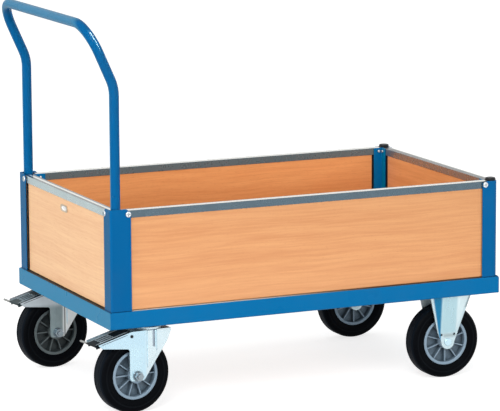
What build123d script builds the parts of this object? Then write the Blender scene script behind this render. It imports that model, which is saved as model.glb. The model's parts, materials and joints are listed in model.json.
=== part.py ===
import os
from math import pi, radians, tan

from build123d import *

os.makedirs("parts", exist_ok=True)

# Millimetres, Z up, floor at zero. X runs along the trolley, with the push handle at its low end.
# "Near" is the low Y side and "far" the high Y side.

# Frame of folded steel rails
frame_length = 1006.0
frame_width = 610.0
frame_underside = 204.0
rail_height = 40.0
rail_gauge = 3.0
rail_flange = 32.0
rail_lip = 8.0
rail_bend = 3.5
rail_joint = 0.8
deck_thickness = 15.0
deck_clearance = 0.5
deck_edge = 1.5
beam_width = 150.0
beam_gauge = 4.0
member_width = 40.0
member_gauge = 3.0
member_spacing = 240.0

# Walls, with a folded edging along the top of each
wall_height = 234.0
wall_thickness = 19.0
wall_recess = 5.0
wall_groove_height = 3.0
wall_groove_depth = 6.0
edging_gauge = 1.2
edging_flange = 17.0
edging_clearance = 0.2

# Corner posts
post_inset = 4.0
front_post_inset = 1.0
post_gauge = 2.0
post_bend = 4.0
handle_post_rise = 4.0
handle_post_length = 51.0
front_post_length = 43.0
post_end_width = 41.0
shoulder_drop = 4.0
shoulder_run = 11.0
tube_gap = 1.0
handle_wall_gap = 4.5
clamp_gauge = 2.0
clamp_gap = 0.2
clamp_chamfer = 3.0
clamp_margin = 13.0

# Wall screws, one through each wing of each post
screw_radius = 3.0
screw_head_radius = 6.6
screw_head_height = 3.6
screw_head_round = 2.4
screw_slot = 1.6
screw_slot_reach = 4.2
screw_slot_depth = 2.0
screw_hole_clearance = 0.3
screw_below_top = 8.0
screw_edge = 6.8
screw_tail = 3.0
screw_tail_round = 1.0
thread_clearance = 0.05

# Push handle and front post tubes
handle_diameter = 23.0
tube_diameter = 25.0
tube_wall = 2.0
tube_clearance = 0.2
handle_leg_inset = 18.5
handle_top_height = 905.0
handle_lean_rise = 143.0
handle_lean = 24.0
handle_knee_radius = 90.0
handle_corner_radius = 70.0
cap_height = 7.0
cap_round = 3.0
cap_plug_length = 18.0
cap_plug_clearance = 0.1

# Wheels
wheel_diameter = 180.0
tyre_width = 45.0
tyre_bore_diameter = 116.0
tyre_bead_width = 37.0
tyre_shoulder = 11.0
tyre_sidewall_reach = 12.0
tyre_sidewall_round = 9.0
tread_groove_width = 1.6
tread_groove_depth = 1.2
tread_groove_offset = 7.5
rim_width = 42.0
rim_ring_thickness = 7.0
rim_ring_round = 1.5
rim_web_thickness = 6.0
rim_rib_count = 10
rim_rib_thickness = 2.6
rim_rib_recess = 4.0
hub_diameter = 36.0
hub_length = 58.0
cage_diameter = 20.0
cage_length = 57.0
cage_clearance = 0.05
axle_diameter = 12.0
running_clearance = 0.08

# Casters
swivel_from_end = 110.0
swivel_from_side = 44.5
swivel_turn = 6.0
fixed_from_end = 126.5
fixed_from_side = 54.0
fixed_wheel_turn = 18.0
caster_rise = 11.0
caster_plate_length = 135.0
swivel_plate_width = 82.0
fixed_plate_width = 100.0
caster_plate_gauge = 4.0
caster_plate_corner = 10.0
swivel_bolt_length_pitch = 105.0
swivel_bolt_width_pitch = 54.0
fixed_bolt_length_pitch = 60.0
fixed_bolt_width_pitch = 36.0
caster_bolt_radius = 4.0
caster_bolt_head_across = 13.0
caster_bolt_head_height = 5.3
caster_nut_height = 6.5
caster_bolt_tail = 1.0
fork_gauge = 3.0
fork_wheel_clearance = 0.5
swivel_trail = 45.0

# Swivel head
race_radius = 31.0
race_depth = 7.0
race_gap = 4.0
ball_radius = 3.0
ball_clearance = 0.3
ball_circle_radius = 23.0
ball_count = 18
pin_radius = 6.0
pin_head_radius = 10.0
pin_head_height = 4.0
pin_gap = 0.3
pin_hole_clearance = 4.0

# Fork legs, seen from the side; lengths along the trolley are from the swivel axis
crown_top = 195.0
crown_front = 42.5
crown_rear = 50.0
fork_top_rear = 60.0
crown_front_drop = 6.5
fork_shoulder = 33.0
fork_shoulder_height = 166.0
fork_shoulder_round = 30.0
fork_front_low = 27.0
fork_front_knee = 20.0
fork_leg_rear = 64.5
fork_leg_foot = 11.5
fork_foot_round = 8.0
fork_arm_bottom = 155.0
fork_arm_tip = 143.5
fork_arm_tip_top = 173.5
fork_arm_tip_bottom = 170.5
fork_arm_nose = 134.5
fork_arm_nose_bottom = 163.0
fork_inner_round = 7.0
bead_rear = 19.5
bead_ahead = 4.0
bead_depth = 1.6
bead_rear_height = 106.0
bead_front_height = 137.0
bead_taper = 30.0

# Axle bolt and its nut on a swivel caster
axle_head_across = 19.0
axle_head_height = 7.5
axle_nut_across = 19.0
axle_nut_height = 9.0
axle_washer_radius = 12.0
axle_washer_gauge = 2.0
axle_tail = 3.5
axle_hole_clearance = 0.1

# Brake pedal
pedal_pivot_back = 59.5
pedal_pivot_height = 184.5
pedal_pin_radius = 2.5
pedal_pin_head_radius = 3.8
pedal_pin_head_height = 1.2
pedal_hub_radius = 4.5
pedal_width = 42.0
pedal_gauge = 4.0
pedal_heel_back = 58.0
pedal_heel_height = 195.2
pedal_toe_back = 147.0
pedal_toe_height = 171.0
pedal_slot_width = 7.5
pedal_slot_length = 34.0
pedal_slot_pitch = 12.0
pedal_slot_from_toe = 34.0
pedal_skirt = 6.0
pedal_skirt_gauge = 3.0
shoe_back = 84.0
shoe_length = 16.0
shoe_width = 34.0
shoe_gap = 6.0
toe_bar_radius = 2.5
toe_bar_reach = 54.0

# Fixed caster bracket, seen from the side
bracket_gauge = 3.0
bracket_top_half = 23.0
bracket_top_flare = 34.0
bracket_top_sweep = 12.0
bracket_top_lean = 9.0
bracket_top_splay = 11.0
bracket_waist_half = 16.0
bracket_waist_flare = 10.5
bracket_waist_sweep = 1.0
bracket_waist_rise = 23.0
bracket_foot_radius = 17.0
bracket_hole_radius = 3.0
bracket_hole_half_pitch = 17.0
bracket_hole_rise = 18.5
axle_rivet_radius = 9.0
axle_rivet_height = 3.0

# Places worked out from the sizes above
handle_radius = handle_diameter / 2
tube_radius = tube_diameter / 2
wheel_radius = wheel_diameter / 2
axle_radius = axle_diameter / 2
frame_top = frame_underside + rail_height
deck_bottom = frame_top - deck_thickness
wall_top = frame_top + wall_height
screw_height = wall_top - screw_below_top
side_y = frame_width / 2
handle_leg_x = post_inset + handle_leg_inset
handle_knee_height = handle_top_height - handle_lean_rise
handle_reach = handle_lean_rise * tan(radians(handle_lean)) - handle_leg_x
overhang = handle_reach + handle_radius
front_overhang = screw_head_height - front_post_inset
x_back = (overhang - frame_length - front_overhang) / 2
x_front = x_back + frame_length
tube_from_face = post_gauge + tube_clearance + tube_radius
leg_y = side_y - post_inset - post_gauge - tube_clearance - handle_radius
swivel_x = x_back + swivel_from_end
fixed_x = x_front - fixed_from_end
caster_top = frame_underside + caster_rise
caster_plate_bottom = caster_top - caster_plate_gauge
beam_top = caster_top + beam_gauge
fork_inside = hub_length / 2 + fork_wheel_clearance
fork_outside = fork_inside + fork_gauge
race_top_z = caster_plate_bottom - race_depth
race_low_z = race_top_z - race_gap
ball_z = (race_top_z + race_low_z) / 2
clamp_face = wall_recess + wall_thickness + edging_clearance + edging_gauge + clamp_gap
screw_hole_radius = screw_radius + screw_hole_clearance
caster_hole_radius = caster_bolt_radius + screw_hole_clearance
sides = (("near", -1), ("far", 1))
ends = (("handle", -1), ("front", 1))


def save(part, name):
    part.label = name
    export_step(part, f"parts/{name}.step")


def save_pair(part, stem):
    save(part, f"{stem}_near")
    with BuildPart() as twin:
        mirror(part, about=Plane.XZ)
    save(twin.part, f"{stem}_far")


def save_moved(part, name, place):
    with BuildPart() as moved:
        with Locations(place):
            add(part)
    save(moved.part, name)


def corner(u, v, end, side):
    """World X and Y of a point u along the trolley and v across it from a post's outer corner."""
    x = x_back + post_inset + u if end < 0 else x_front - front_post_inset - u
    return (x, side * (side_y - post_inset - v))


def end_x(distance, end):
    """World X of a plane at a distance inside the handle end or the front end of the frame."""
    return x_back + distance if end < 0 else x_front - distance


def post_length(end):
    return handle_post_length if end < 0 else front_post_length


def post_top(end):
    return wall_top + (handle_post_rise if end < 0 else 0)


def caster_x(end):
    return swivel_x if end < 0 else fixed_x


def caster_y(end):
    return side_y - (swivel_from_side if end < 0 else fixed_from_side)


def bolt_pitch(end):
    if end < 0:
        return (swivel_bolt_length_pitch, swivel_bolt_width_pitch)
    return (fixed_bolt_length_pitch, fixed_bolt_width_pitch)


# Planes of the wall screws: origin on a post's outer face, Z pointing into the wall
long_screws = {
    (end, side): Plane(
        origin=(*corner(post_length(end) - screw_edge, 0, end, side), screw_height), z_dir=(0, -side, 0)
    )
    for _, end in ends
    for _, side in sides
}
end_screws = {
    (end, side): Plane(
        origin=(*corner(0, post_end_width - screw_edge, end, side), screw_height), z_dir=(-end, 0, 0)
    )
    for _, end in ends
    for _, side in sides
}
screw_planes = list(long_screws.values()) + list(end_screws.values())
screw_reach = clamp_face + clamp_gauge + screw_tail


def drill_screws():
    with Locations(*screw_planes):
        Cylinder(
            screw_hole_radius,
            screw_reach,
            align=(Align.CENTER, Align.CENTER, Align.MIN),
            mode=Mode.SUBTRACT,
        )


# Side rails: channels with a wide top flange and a small bottom lip, between the end rails' webs
with BuildPart() as side_rail:
    with BuildSketch(Plane.YZ.offset(x_back + rail_gauge + rail_joint)):
        with BuildLine():
            FilletPolyline(
                (-side_y, frame_underside),
                (-side_y, frame_top),
                (-side_y + rail_flange, frame_top),
                (-side_y + rail_flange, frame_top - rail_gauge),
                (-side_y + rail_gauge, frame_top - rail_gauge),
                (-side_y + rail_gauge, frame_underside + rail_gauge),
                (-side_y + rail_lip, frame_underside + rail_gauge),
                (-side_y + rail_lip, frame_underside),
                radius=[rail_bend, rail_bend, 0, 0, 0, 0, 0, 0],
                close=True,
            )
        make_face()
    extrude(amount=frame_length - 2 * (rail_gauge + rail_joint))
save_pair(side_rail.part, "side_rail")

# End rails: the web runs the full width, the flange and lip stop at the side rails
for end_name, end in ends:
    with BuildPart() as end_rail:
        with BuildSketch(Plane.YZ.offset(end_x(0, end))):
            with Locations((0, frame_underside + rail_height / 2)):
                RectangleRounded(frame_width, rail_height, rail_bend)
        extrude(amount=-end * rail_gauge)
        with BuildSketch(Plane.YZ.offset(end_x(rail_gauge, end))):
            with Locations((0, frame_top - rail_gauge / 2)):
                Rectangle(frame_width - 2 * rail_flange, rail_gauge)
        extrude(amount=-end * (rail_flange - rail_gauge))
        with BuildSketch(Plane.YZ.offset(end_x(rail_gauge, end))):
            with Locations((0, frame_underside + rail_gauge / 2)):
                Rectangle(frame_width - 2 * rail_flange, rail_gauge)
        extrude(amount=-end * (rail_lip - rail_gauge))
    save(end_rail.part, f"end_rail_{end_name}")

# Caster beams: wide upturned channels between the side rails, drilled for the caster bolts and king pins
for end_name, end in ends:
    beam_x = caster_x(end)
    with BuildPart() as caster_beam:
        with BuildSketch(Plane.XZ.offset(-side_y + rail_gauge)):
            with BuildLine():
                Polyline(
                    (beam_x - beam_width / 2, caster_top),
                    (beam_x + beam_width / 2, caster_top),
                    (beam_x + beam_width / 2, deck_bottom),
                    (beam_x + beam_width / 2 - beam_gauge, deck_bottom),
                    (beam_x + beam_width / 2 - beam_gauge, beam_top),
                    (beam_x - beam_width / 2 + beam_gauge, beam_top),
                    (beam_x - beam_width / 2 + beam_gauge, deck_bottom),
                    (beam_x - beam_width / 2, deck_bottom),
                    close=True,
                )
            make_face()
        extrude(amount=frame_width - 2 * rail_gauge)
        for _, side in sides:
            with Locations((beam_x, side * caster_y(end), caster_top + beam_gauge / 2)):
                if end < 0:
                    Cylinder(pin_head_radius + pin_hole_clearance, beam_gauge, mode=Mode.SUBTRACT)
                with GridLocations(*bolt_pitch(end), 2, 2):
                    Cylinder(caster_hole_radius, beam_gauge, mode=Mode.SUBTRACT)
    save(caster_beam.part, f"caster_beam_{end_name}")

# Two middle cross members under the deck, standing on the rails' bottom lips
member_bottom = frame_underside + rail_gauge
with BuildPart() as cross_members:
    for x in (-member_spacing / 2, member_spacing / 2):
        mid_x = (x_back + x_front) / 2 + x
        with BuildSketch(Plane.XZ.offset(-side_y + rail_gauge)):
            with Locations((mid_x, (member_bottom + deck_bottom) / 2)):
                Rectangle(member_width, deck_bottom - member_bottom)
            with Locations((mid_x, (member_bottom + deck_bottom - member_gauge) / 2)):
                Rectangle(
                    member_width - 2 * member_gauge,
                    deck_bottom - member_bottom - member_gauge,
                    mode=Mode.SUBTRACT,
                )
        extrude(amount=frame_width - 2 * rail_gauge)
save(cross_members.part, "cross_members")

# Deck board, flush with the frame's top and inside its flanges
deck_length = frame_length - 2 * (rail_flange + deck_clearance)
deck_width = frame_width - 2 * (rail_flange + deck_clearance)
with BuildPart() as deck_board:
    with Locations(((x_back + x_front) / 2, 0, deck_bottom)):
        Box(deck_length, deck_width, deck_thickness, align=(Align.CENTER, Align.CENTER, Align.MIN))
    chamfer(deck_board.edges().group_by(Axis.Z)[-1], deck_edge / 2)
save(deck_board.part, "deck_board")

# Corner posts: a folded outer profile whose wings cover the ends of two walls
for end_name, end in ends:
    for side_name, side in sides:
        wing = post_length(end)
        top = post_top(end)
        bend = post_bend if end < 0 else tube_from_face
        with BuildPart() as post:
            with BuildSketch(Plane.XY.offset(frame_top)):
                with BuildLine():
                    outline = [
                        corner(0, 0, end, side),
                        corner(wing, 0, end, side),
                        corner(wing, post_gauge, end, side),
                        corner(post_gauge, post_gauge, end, side),
                        corner(post_gauge, post_end_width, end, side),
                        corner(0, post_end_width, end, side),
                    ]
                    FilletPolyline(
                        *outline,
                        radius=[bend, 0, 0, bend - post_gauge, 0, 0],
                        close=True,
                    )
                make_face()
            extrude(amount=top - frame_top)
            with BuildSketch(Plane.XZ):
                with BuildLine():
                    Polyline(
                        (corner(wing - shoulder_run, 0, end, side)[0], top),
                        (corner(wing, 0, end, side)[0], top),
                        (corner(wing, 0, end, side)[0], wall_top - shoulder_drop),
                        close=True,
                    )
                make_face()
            extrude(amount=side_y, both=True, mode=Mode.SUBTRACT)
            with BuildSketch(Plane.YZ.offset(end_x(0, end))):
                with BuildLine():
                    Polyline(
                        (corner(0, post_end_width - shoulder_run, end, side)[1], top),
                        (corner(0, post_end_width, end, side)[1], top),
                        (corner(0, post_end_width, end, side)[1], wall_top - shoulder_drop),
                        close=True,
                    )
                make_face()
            extrude(amount=-end * (post_inset + post_gauge), mode=Mode.SUBTRACT)
            drill_screws()
        save(post.part, f"post_{end_name}_{side_name}")

# Inner clamp angles, folded round the inside of each corner
clamp_top = wall_top
mitre = clamp_gauge * tan(pi / 8)
for end_name, end in ends:
    for side_name, side in sides:
        clamp_length = post_length(end) - screw_edge + clamp_margin
        clamp_width = post_end_width - screw_edge + clamp_margin
        with BuildPart() as clamp_angle:
            with BuildSketch(Plane.XY.offset(frame_top)):
                with BuildLine():
                    inner_face = clamp_face + clamp_gauge
                    outer_bend = clamp_face + clamp_chamfer
                    outline = [
                        corner(clamp_length, clamp_face, end, side),
                        corner(outer_bend, clamp_face, end, side),
                        corner(clamp_face, outer_bend, end, side),
                        corner(clamp_face, clamp_width, end, side),
                        corner(inner_face, clamp_width, end, side),
                        corner(inner_face, outer_bend + mitre, end, side),
                        corner(outer_bend + mitre, inner_face, end, side),
                        corner(clamp_length, inner_face, end, side),
                    ]
                    Polyline(*outline, close=True)
                make_face()
            extrude(amount=clamp_top - frame_top)
            drill_screws()
        save(clamp_angle.part, f"clamp_angle_{end_name}_{side_name}")

# Front post tubes, open at the top for their caps
front_tube_x, front_tube_y = corner(tube_from_face, tube_from_face, 1, -1)
with BuildPart() as front_tube:
    with BuildSketch(Plane.XY.offset(frame_top)):
        with Locations((front_tube_x, front_tube_y)):
            Circle(tube_radius)
            Circle(tube_radius - tube_wall, mode=Mode.SUBTRACT)
    extrude(amount=wall_top - frame_top)
save_pair(front_tube.part, "front_tube")

with BuildPart() as tube_caps:
    with Locations((front_tube_x, front_tube_y, wall_top), (front_tube_x, -front_tube_y, wall_top)):
        Cylinder(tube_radius, cap_height, align=(Align.CENTER, Align.CENTER, Align.MIN))
    fillet(tube_caps.faces().sort_by(Axis.Z)[-2:].edges(), cap_round)
    with Locations((front_tube_x, front_tube_y, wall_top), (front_tube_x, -front_tube_y, wall_top)):
        Cylinder(
            tube_radius - tube_wall - cap_plug_clearance,
            cap_plug_length,
            align=(Align.CENTER, Align.CENTER, Align.MAX),
        )
save(tube_caps.part, "tube_caps")

# Wall boards, standing on the frame's flanges between the post tubes, with a shadow groove at the foot
board_top = wall_top - edging_gauge
long_start = x_back + handle_leg_x + handle_radius + handle_wall_gap
long_stop = x_front - front_post_inset - tube_from_face - tube_radius - tube_gap
end_half = side_y - post_inset - tube_from_face - tube_radius - tube_gap


def board_section(outer, inward):
    """Outline of a board across its thickness, from its outer face, with heights as the second value."""
    step = outer + inward * wall_groove_depth
    return [
        (step, frame_top),
        (outer + inward * wall_thickness, frame_top),
        (outer + inward * wall_thickness, board_top),
        (outer, board_top),
        (outer, frame_top + wall_groove_height),
        (step, frame_top + wall_groove_height),
    ]


def edging_section(outer, inward):
    """Outline of the U edging over a board's top, from the board's outer face."""
    left = outer - inward * (edging_clearance + edging_gauge)
    right = outer + inward * (wall_thickness + edging_clearance + edging_gauge)
    step = inward * edging_gauge
    foot = wall_top - edging_flange
    return [
        (left, foot),
        (left, wall_top),
        (right, wall_top),
        (right, foot),
        (right - step, foot),
        (right - step, board_top),
        (left + step, board_top),
        (left + step, foot),
    ]


def long_piece(section):
    with BuildPart() as piece:
        with BuildSketch(Plane.YZ.offset(long_start)):
            with BuildLine():
                Polyline(*section(-side_y + post_inset + wall_recess, 1), close=True)
            make_face()
        extrude(amount=long_stop - long_start)
        drill_screws()
    return piece.part


def end_piece(section, end):
    with BuildPart() as piece:
        with BuildSketch(Plane.XZ.offset(-end_half)):
            with BuildLine():
                Polyline(*section(corner(wall_recess, 0, end, -1)[0], -end), close=True)
            make_face()
        extrude(amount=2 * end_half)
        drill_screws()
    return piece.part


save_pair(long_piece(board_section), "wall")
save_pair(long_piece(edging_section), "edging")
for end_name, end in ends:
    save(end_piece(board_section, end), f"wall_{end_name}")
    save(end_piece(edging_section, end), f"edging_{end_name}")

# Wall screws, tapped into the clamp angles
with BuildPart() as wall_screw:
    Cylinder(screw_head_radius, screw_head_height, align=(Align.CENTER, Align.CENTER, Align.MAX))
    fillet(wall_screw.edges().sort_by(Axis.Z)[0], screw_head_round)
    Cylinder(screw_radius, screw_reach, align=(Align.CENTER, Align.CENTER, Align.MIN))
    fillet(wall_screw.edges().sort_by(Axis.Z)[-1], screw_tail_round)
    with Locations((0, 0, -screw_head_height)):
        for size in ((2 * screw_slot_reach, screw_slot), (screw_slot, 2 * screw_slot_reach)):
            Box(*size, screw_slot_depth, align=(Align.CENTER, Align.CENTER, Align.MIN), mode=Mode.SUBTRACT)

with BuildPart() as wall_fasteners:
    with Locations(*screw_planes):
        add(wall_screw.part)
save(wall_fasteners.part, "wall_fasteners")

# Push handle: one tube up from each handle-end post, leaning out over the end and joined across the top
knee_x = x_back + handle_leg_x
top_x = x_back - handle_reach
with BuildPart() as push_handle:
    with BuildLine() as handle_path:
        FilletPolyline(
            (knee_x, -leg_y, frame_top),
            (knee_x, -leg_y, handle_knee_height),
            (top_x, -leg_y, handle_top_height),
            (top_x, leg_y, handle_top_height),
            (knee_x, leg_y, handle_knee_height),
            (knee_x, leg_y, frame_top),
            radius=[handle_knee_radius, handle_corner_radius, handle_corner_radius, handle_knee_radius],
        )
    with BuildSketch(Plane.XY.offset(frame_top)):
        with Locations((knee_x, -leg_y)):
            Circle(handle_radius)
            Circle(handle_radius - tube_wall, mode=Mode.SUBTRACT)
    sweep(path=handle_path.wires()[0])
save(push_handle.part, "push_handle")


# Where a caster's pieces go: about the swivel axis, turned a little, or straight over a fixed axle
def caster_place(end, side):
    return Location((caster_x(end), side * caster_y(end), 0), (0, 0, swivel_turn if end < 0 else 0))


def wheel_place(end, side):
    return caster_place(end, side) * Location((-swivel_trail if end < 0 else 0, 0, wheel_radius))


# Wheels, made about the Y axis at the origin and then moved to their axles
tyre_bore = tyre_bore_diameter / 2
sidewall = tyre_bore + tyre_sidewall_reach
with BuildPart() as tyre:
    with BuildSketch(Plane.XY):
        with BuildLine():
            FilletPolyline(
                (tyre_bore, -tyre_bead_width / 2),
                (sidewall, -tyre_width / 2),
                (wheel_radius, -tyre_width / 2),
                (wheel_radius, tyre_width / 2),
                (sidewall, tyre_width / 2),
                (tyre_bore, tyre_bead_width / 2),
                radius=[0, tyre_sidewall_round, tyre_shoulder, tyre_shoulder, tyre_sidewall_round, 0],
                close=True,
            )
        make_face()
        with Locations((wheel_radius, -tread_groove_offset), (wheel_radius, tread_groove_offset)):
            Rectangle(2 * tread_groove_depth, tread_groove_width, mode=Mode.SUBTRACT)
    revolve(axis=Axis.Y)

hub_radius = hub_diameter / 2
ring_inside = tyre_bore - rim_ring_thickness
cage_radius = cage_diameter / 2
with BuildPart() as rim:
    with BuildSketch(Plane.XY):
        with Locations(((tyre_bore + ring_inside) / 2, 0)):
            RectangleRounded(rim_ring_thickness, rim_width, rim_ring_round)
        with Locations(((hub_radius + ring_inside) / 2, 0)):
            Rectangle(ring_inside - hub_radius + rim_ring_thickness, rim_web_thickness)
        with Locations(((hub_radius + cage_radius + cage_clearance) / 2, 0)):
            Rectangle(hub_radius - cage_radius - cage_clearance, hub_length)
    revolve(axis=Axis.Y)
    with BuildSketch(Plane.XZ.offset(-rim_width / 2 + rim_rib_recess)):
        with PolarLocations((hub_radius + ring_inside) / 2, rim_rib_count):
            Rectangle(ring_inside - hub_radius + rim_ring_round, rim_rib_thickness)
    extrude(amount=rim_width - 2 * rim_rib_recess)

with BuildPart() as roller_cage:
    with BuildSketch(Plane.XZ.offset(-cage_length / 2)):
        Circle(cage_radius)
        Circle(axle_radius + running_clearance, mode=Mode.SUBTRACT)
    extrude(amount=cage_length)

for end_name, end in ends:
    kind = "swivel" if end < 0 else "fixed"
    for side_name, side in sides:
        place = wheel_place(end, side)
        save_moved(tyre.part, f"{kind}_tyre_{side_name}", place)
        rim_turn = Location((0, 0, 0), (0, 0 if end < 0 else fixed_wheel_turn, 0))
        save_moved(rim.part, f"{kind}_rim_{side_name}", place * rim_turn)
        save_moved(roller_cage.part, f"{kind}_roller_cage_{side_name}", place)


# Caster parts, made about the swivel axis or the fixed axle and then moved to each side
def caster_plate(width, end):
    with BuildPart() as plate:
        with BuildSketch(Plane.XY.offset(caster_plate_bottom)):
            RectangleRounded(caster_plate_length, width, caster_plate_corner)
            with GridLocations(*bolt_pitch(end), 2, 2):
                Circle(caster_hole_radius, mode=Mode.SUBTRACT)
        extrude(amount=caster_plate_gauge)
    return plate.part


with BuildPart() as ball_track:
    with BuildSketch(Plane.XZ):
        with Locations((ball_circle_radius, ball_z)):
            Circle(ball_radius + ball_clearance)
    revolve(axis=Axis.Z)

with BuildPart() as swivel_plate:
    add(caster_plate(swivel_plate_width, -1))
    with BuildSketch(Plane.XY.offset(race_top_z)):
        Circle(race_radius)
    extrude(amount=race_depth)
    add(ball_track.part, mode=Mode.SUBTRACT)
    with BuildSketch(Plane.XY.offset(race_top_z)):
        Circle(pin_radius + running_clearance)
    extrude(amount=race_depth + caster_plate_gauge, mode=Mode.SUBTRACT)

with BuildPart() as swivel_balls:
    with Locations((0, 0, ball_z)):
        with PolarLocations(ball_circle_radius, ball_count):
            Sphere(ball_radius)

crown_bottom = crown_top - fork_gauge
with BuildPart() as king_pin:
    with BuildSketch(Plane.XY.offset(crown_bottom - pin_head_height)):
        Circle(pin_head_radius)
    extrude(amount=pin_head_height)
    with BuildSketch(Plane.XY.offset(crown_bottom)):
        Circle(pin_radius)
    extrude(amount=caster_top + pin_gap - crown_bottom)
    with BuildSketch(Plane.XY.offset(caster_top + pin_gap)):
        Circle(pin_head_radius)
    extrude(amount=pin_head_height)

axle_hole_radius = axle_radius + axle_hole_clearance
pedal_pin_hole = pedal_pin_radius + axle_hole_clearance
with BuildPart() as fork:
    with BuildSketch(Plane.XZ.offset(fork_inside)):
        with BuildLine():
            FilletPolyline(
                (crown_front, crown_top),
                (-fork_top_rear, crown_top),
                (-fork_arm_tip, fork_arm_tip_top),
                (-fork_arm_tip, fork_arm_tip_bottom),
                (-fork_arm_nose, fork_arm_nose_bottom),
                (-fork_leg_rear, fork_arm_bottom),
                (-fork_leg_rear, wheel_radius - fork_leg_foot),
                (-fork_front_low, wheel_radius - fork_leg_foot),
                (-fork_front_knee, wheel_radius),
                (fork_shoulder, fork_shoulder_height),
                (crown_front, crown_top - crown_front_drop),
                radius=[
                    0,
                    fork_inner_round,
                    0,
                    0,
                    fork_inner_round,
                    fork_inner_round,
                    fork_foot_round,
                    fork_foot_round,
                    fork_foot_round,
                    fork_shoulder_round,
                    0,
                ],
                close=True,
            )
        make_face()
        with Locations((-swivel_trail, wheel_radius)):
            Circle(axle_hole_radius, mode=Mode.SUBTRACT)
        with Locations((-pedal_pivot_back, pedal_pivot_height)):
            Circle(pedal_pin_hole, mode=Mode.SUBTRACT)
    extrude(amount=fork_gauge)
    with BuildSketch(Plane.XZ.offset(fork_outside)):
        with BuildLine():
            Polyline(
                (-bead_rear, crown_top),
                (bead_ahead, crown_top),
                (bead_ahead, bead_front_height),
                (-bead_rear, bead_rear_height),
                close=True,
            )
        make_face()
    extrude(amount=bead_depth, taper=bead_taper)
    mirror(about=Plane.XZ)
    with BuildSketch(Plane.XY.offset(crown_bottom)):
        with Locations(((crown_front - crown_rear) / 2, 0)):
            Rectangle(crown_front + crown_rear, 2 * fork_inside)
    extrude(amount=fork_gauge)
    with BuildSketch(Plane.XY.offset(crown_top)):
        Circle(race_radius)
    extrude(amount=race_low_z - crown_top)
    add(ball_track.part, mode=Mode.SUBTRACT)
    with BuildSketch(Plane.XY.offset(crown_bottom)):
        Circle(pin_radius + thread_clearance)
    extrude(amount=race_low_z - crown_bottom, mode=Mode.SUBTRACT)

# Axle bolt with its washer-faced nut on the near face of the fork
bolt_end = fork_outside + axle_washer_gauge + axle_nut_height + axle_tail
with BuildPart() as axle_bolt:
    with BuildSketch(Plane.XZ.offset(-fork_outside)):
        Circle(axle_radius)
    extrude(amount=fork_outside + bolt_end)
    with BuildSketch(Plane.XZ.offset(-fork_outside)):
        RegularPolygon(axle_head_across / 2, 6, major_radius=False)
    extrude(amount=-axle_head_height)
    with BuildSketch(Plane.XZ.offset(fork_outside)):
        Circle(axle_washer_radius)
        Circle(axle_radius + thread_clearance, mode=Mode.SUBTRACT)
    extrude(amount=axle_washer_gauge)
    with BuildSketch(Plane.XZ.offset(fork_outside + axle_washer_gauge)):
        RegularPolygon(axle_nut_across / 2, 6, major_radius=False)
        Circle(axle_radius + thread_clearance, mode=Mode.SUBTRACT)
    extrude(amount=axle_nut_height)

# Pedal pin, riveted over outside both fork legs
with BuildPart() as pedal_pin:
    with BuildSketch(Plane.XZ.offset(-fork_outside)):
        with Locations((-pedal_pivot_back, pedal_pivot_height)):
            Circle(pedal_pin_radius)
    extrude(amount=2 * fork_outside)
    for face_y in (fork_outside, -fork_outside - pedal_pin_head_height):
        with BuildSketch(Plane.XZ.offset(face_y)):
            with Locations((-pedal_pivot_back, pedal_pivot_height)):
                Circle(pedal_pin_head_radius)
        extrude(amount=pedal_pin_head_height)

# Brake pedal: a sloping tread plate with slots and side skirts, a shoe over the tyre and a bar at the toe
pedal_run = pedal_toe_back - pedal_heel_back
pedal_fall = pedal_heel_height - pedal_toe_height
pedal_slope = (pedal_run**2 + pedal_fall**2) ** 0.5
tread_plane = Plane(
    origin=(-pedal_heel_back, 0, pedal_heel_height),
    x_dir=(-pedal_run, 0, -pedal_fall),
    z_dir=(-pedal_fall, 0, pedal_run),
)


def tread_height(back):
    """Height of the middle of the tread plate at a distance behind the swivel axis."""
    return pedal_heel_height - pedal_fall * (back - pedal_heel_back) / pedal_run - pedal_gauge / 2


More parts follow.
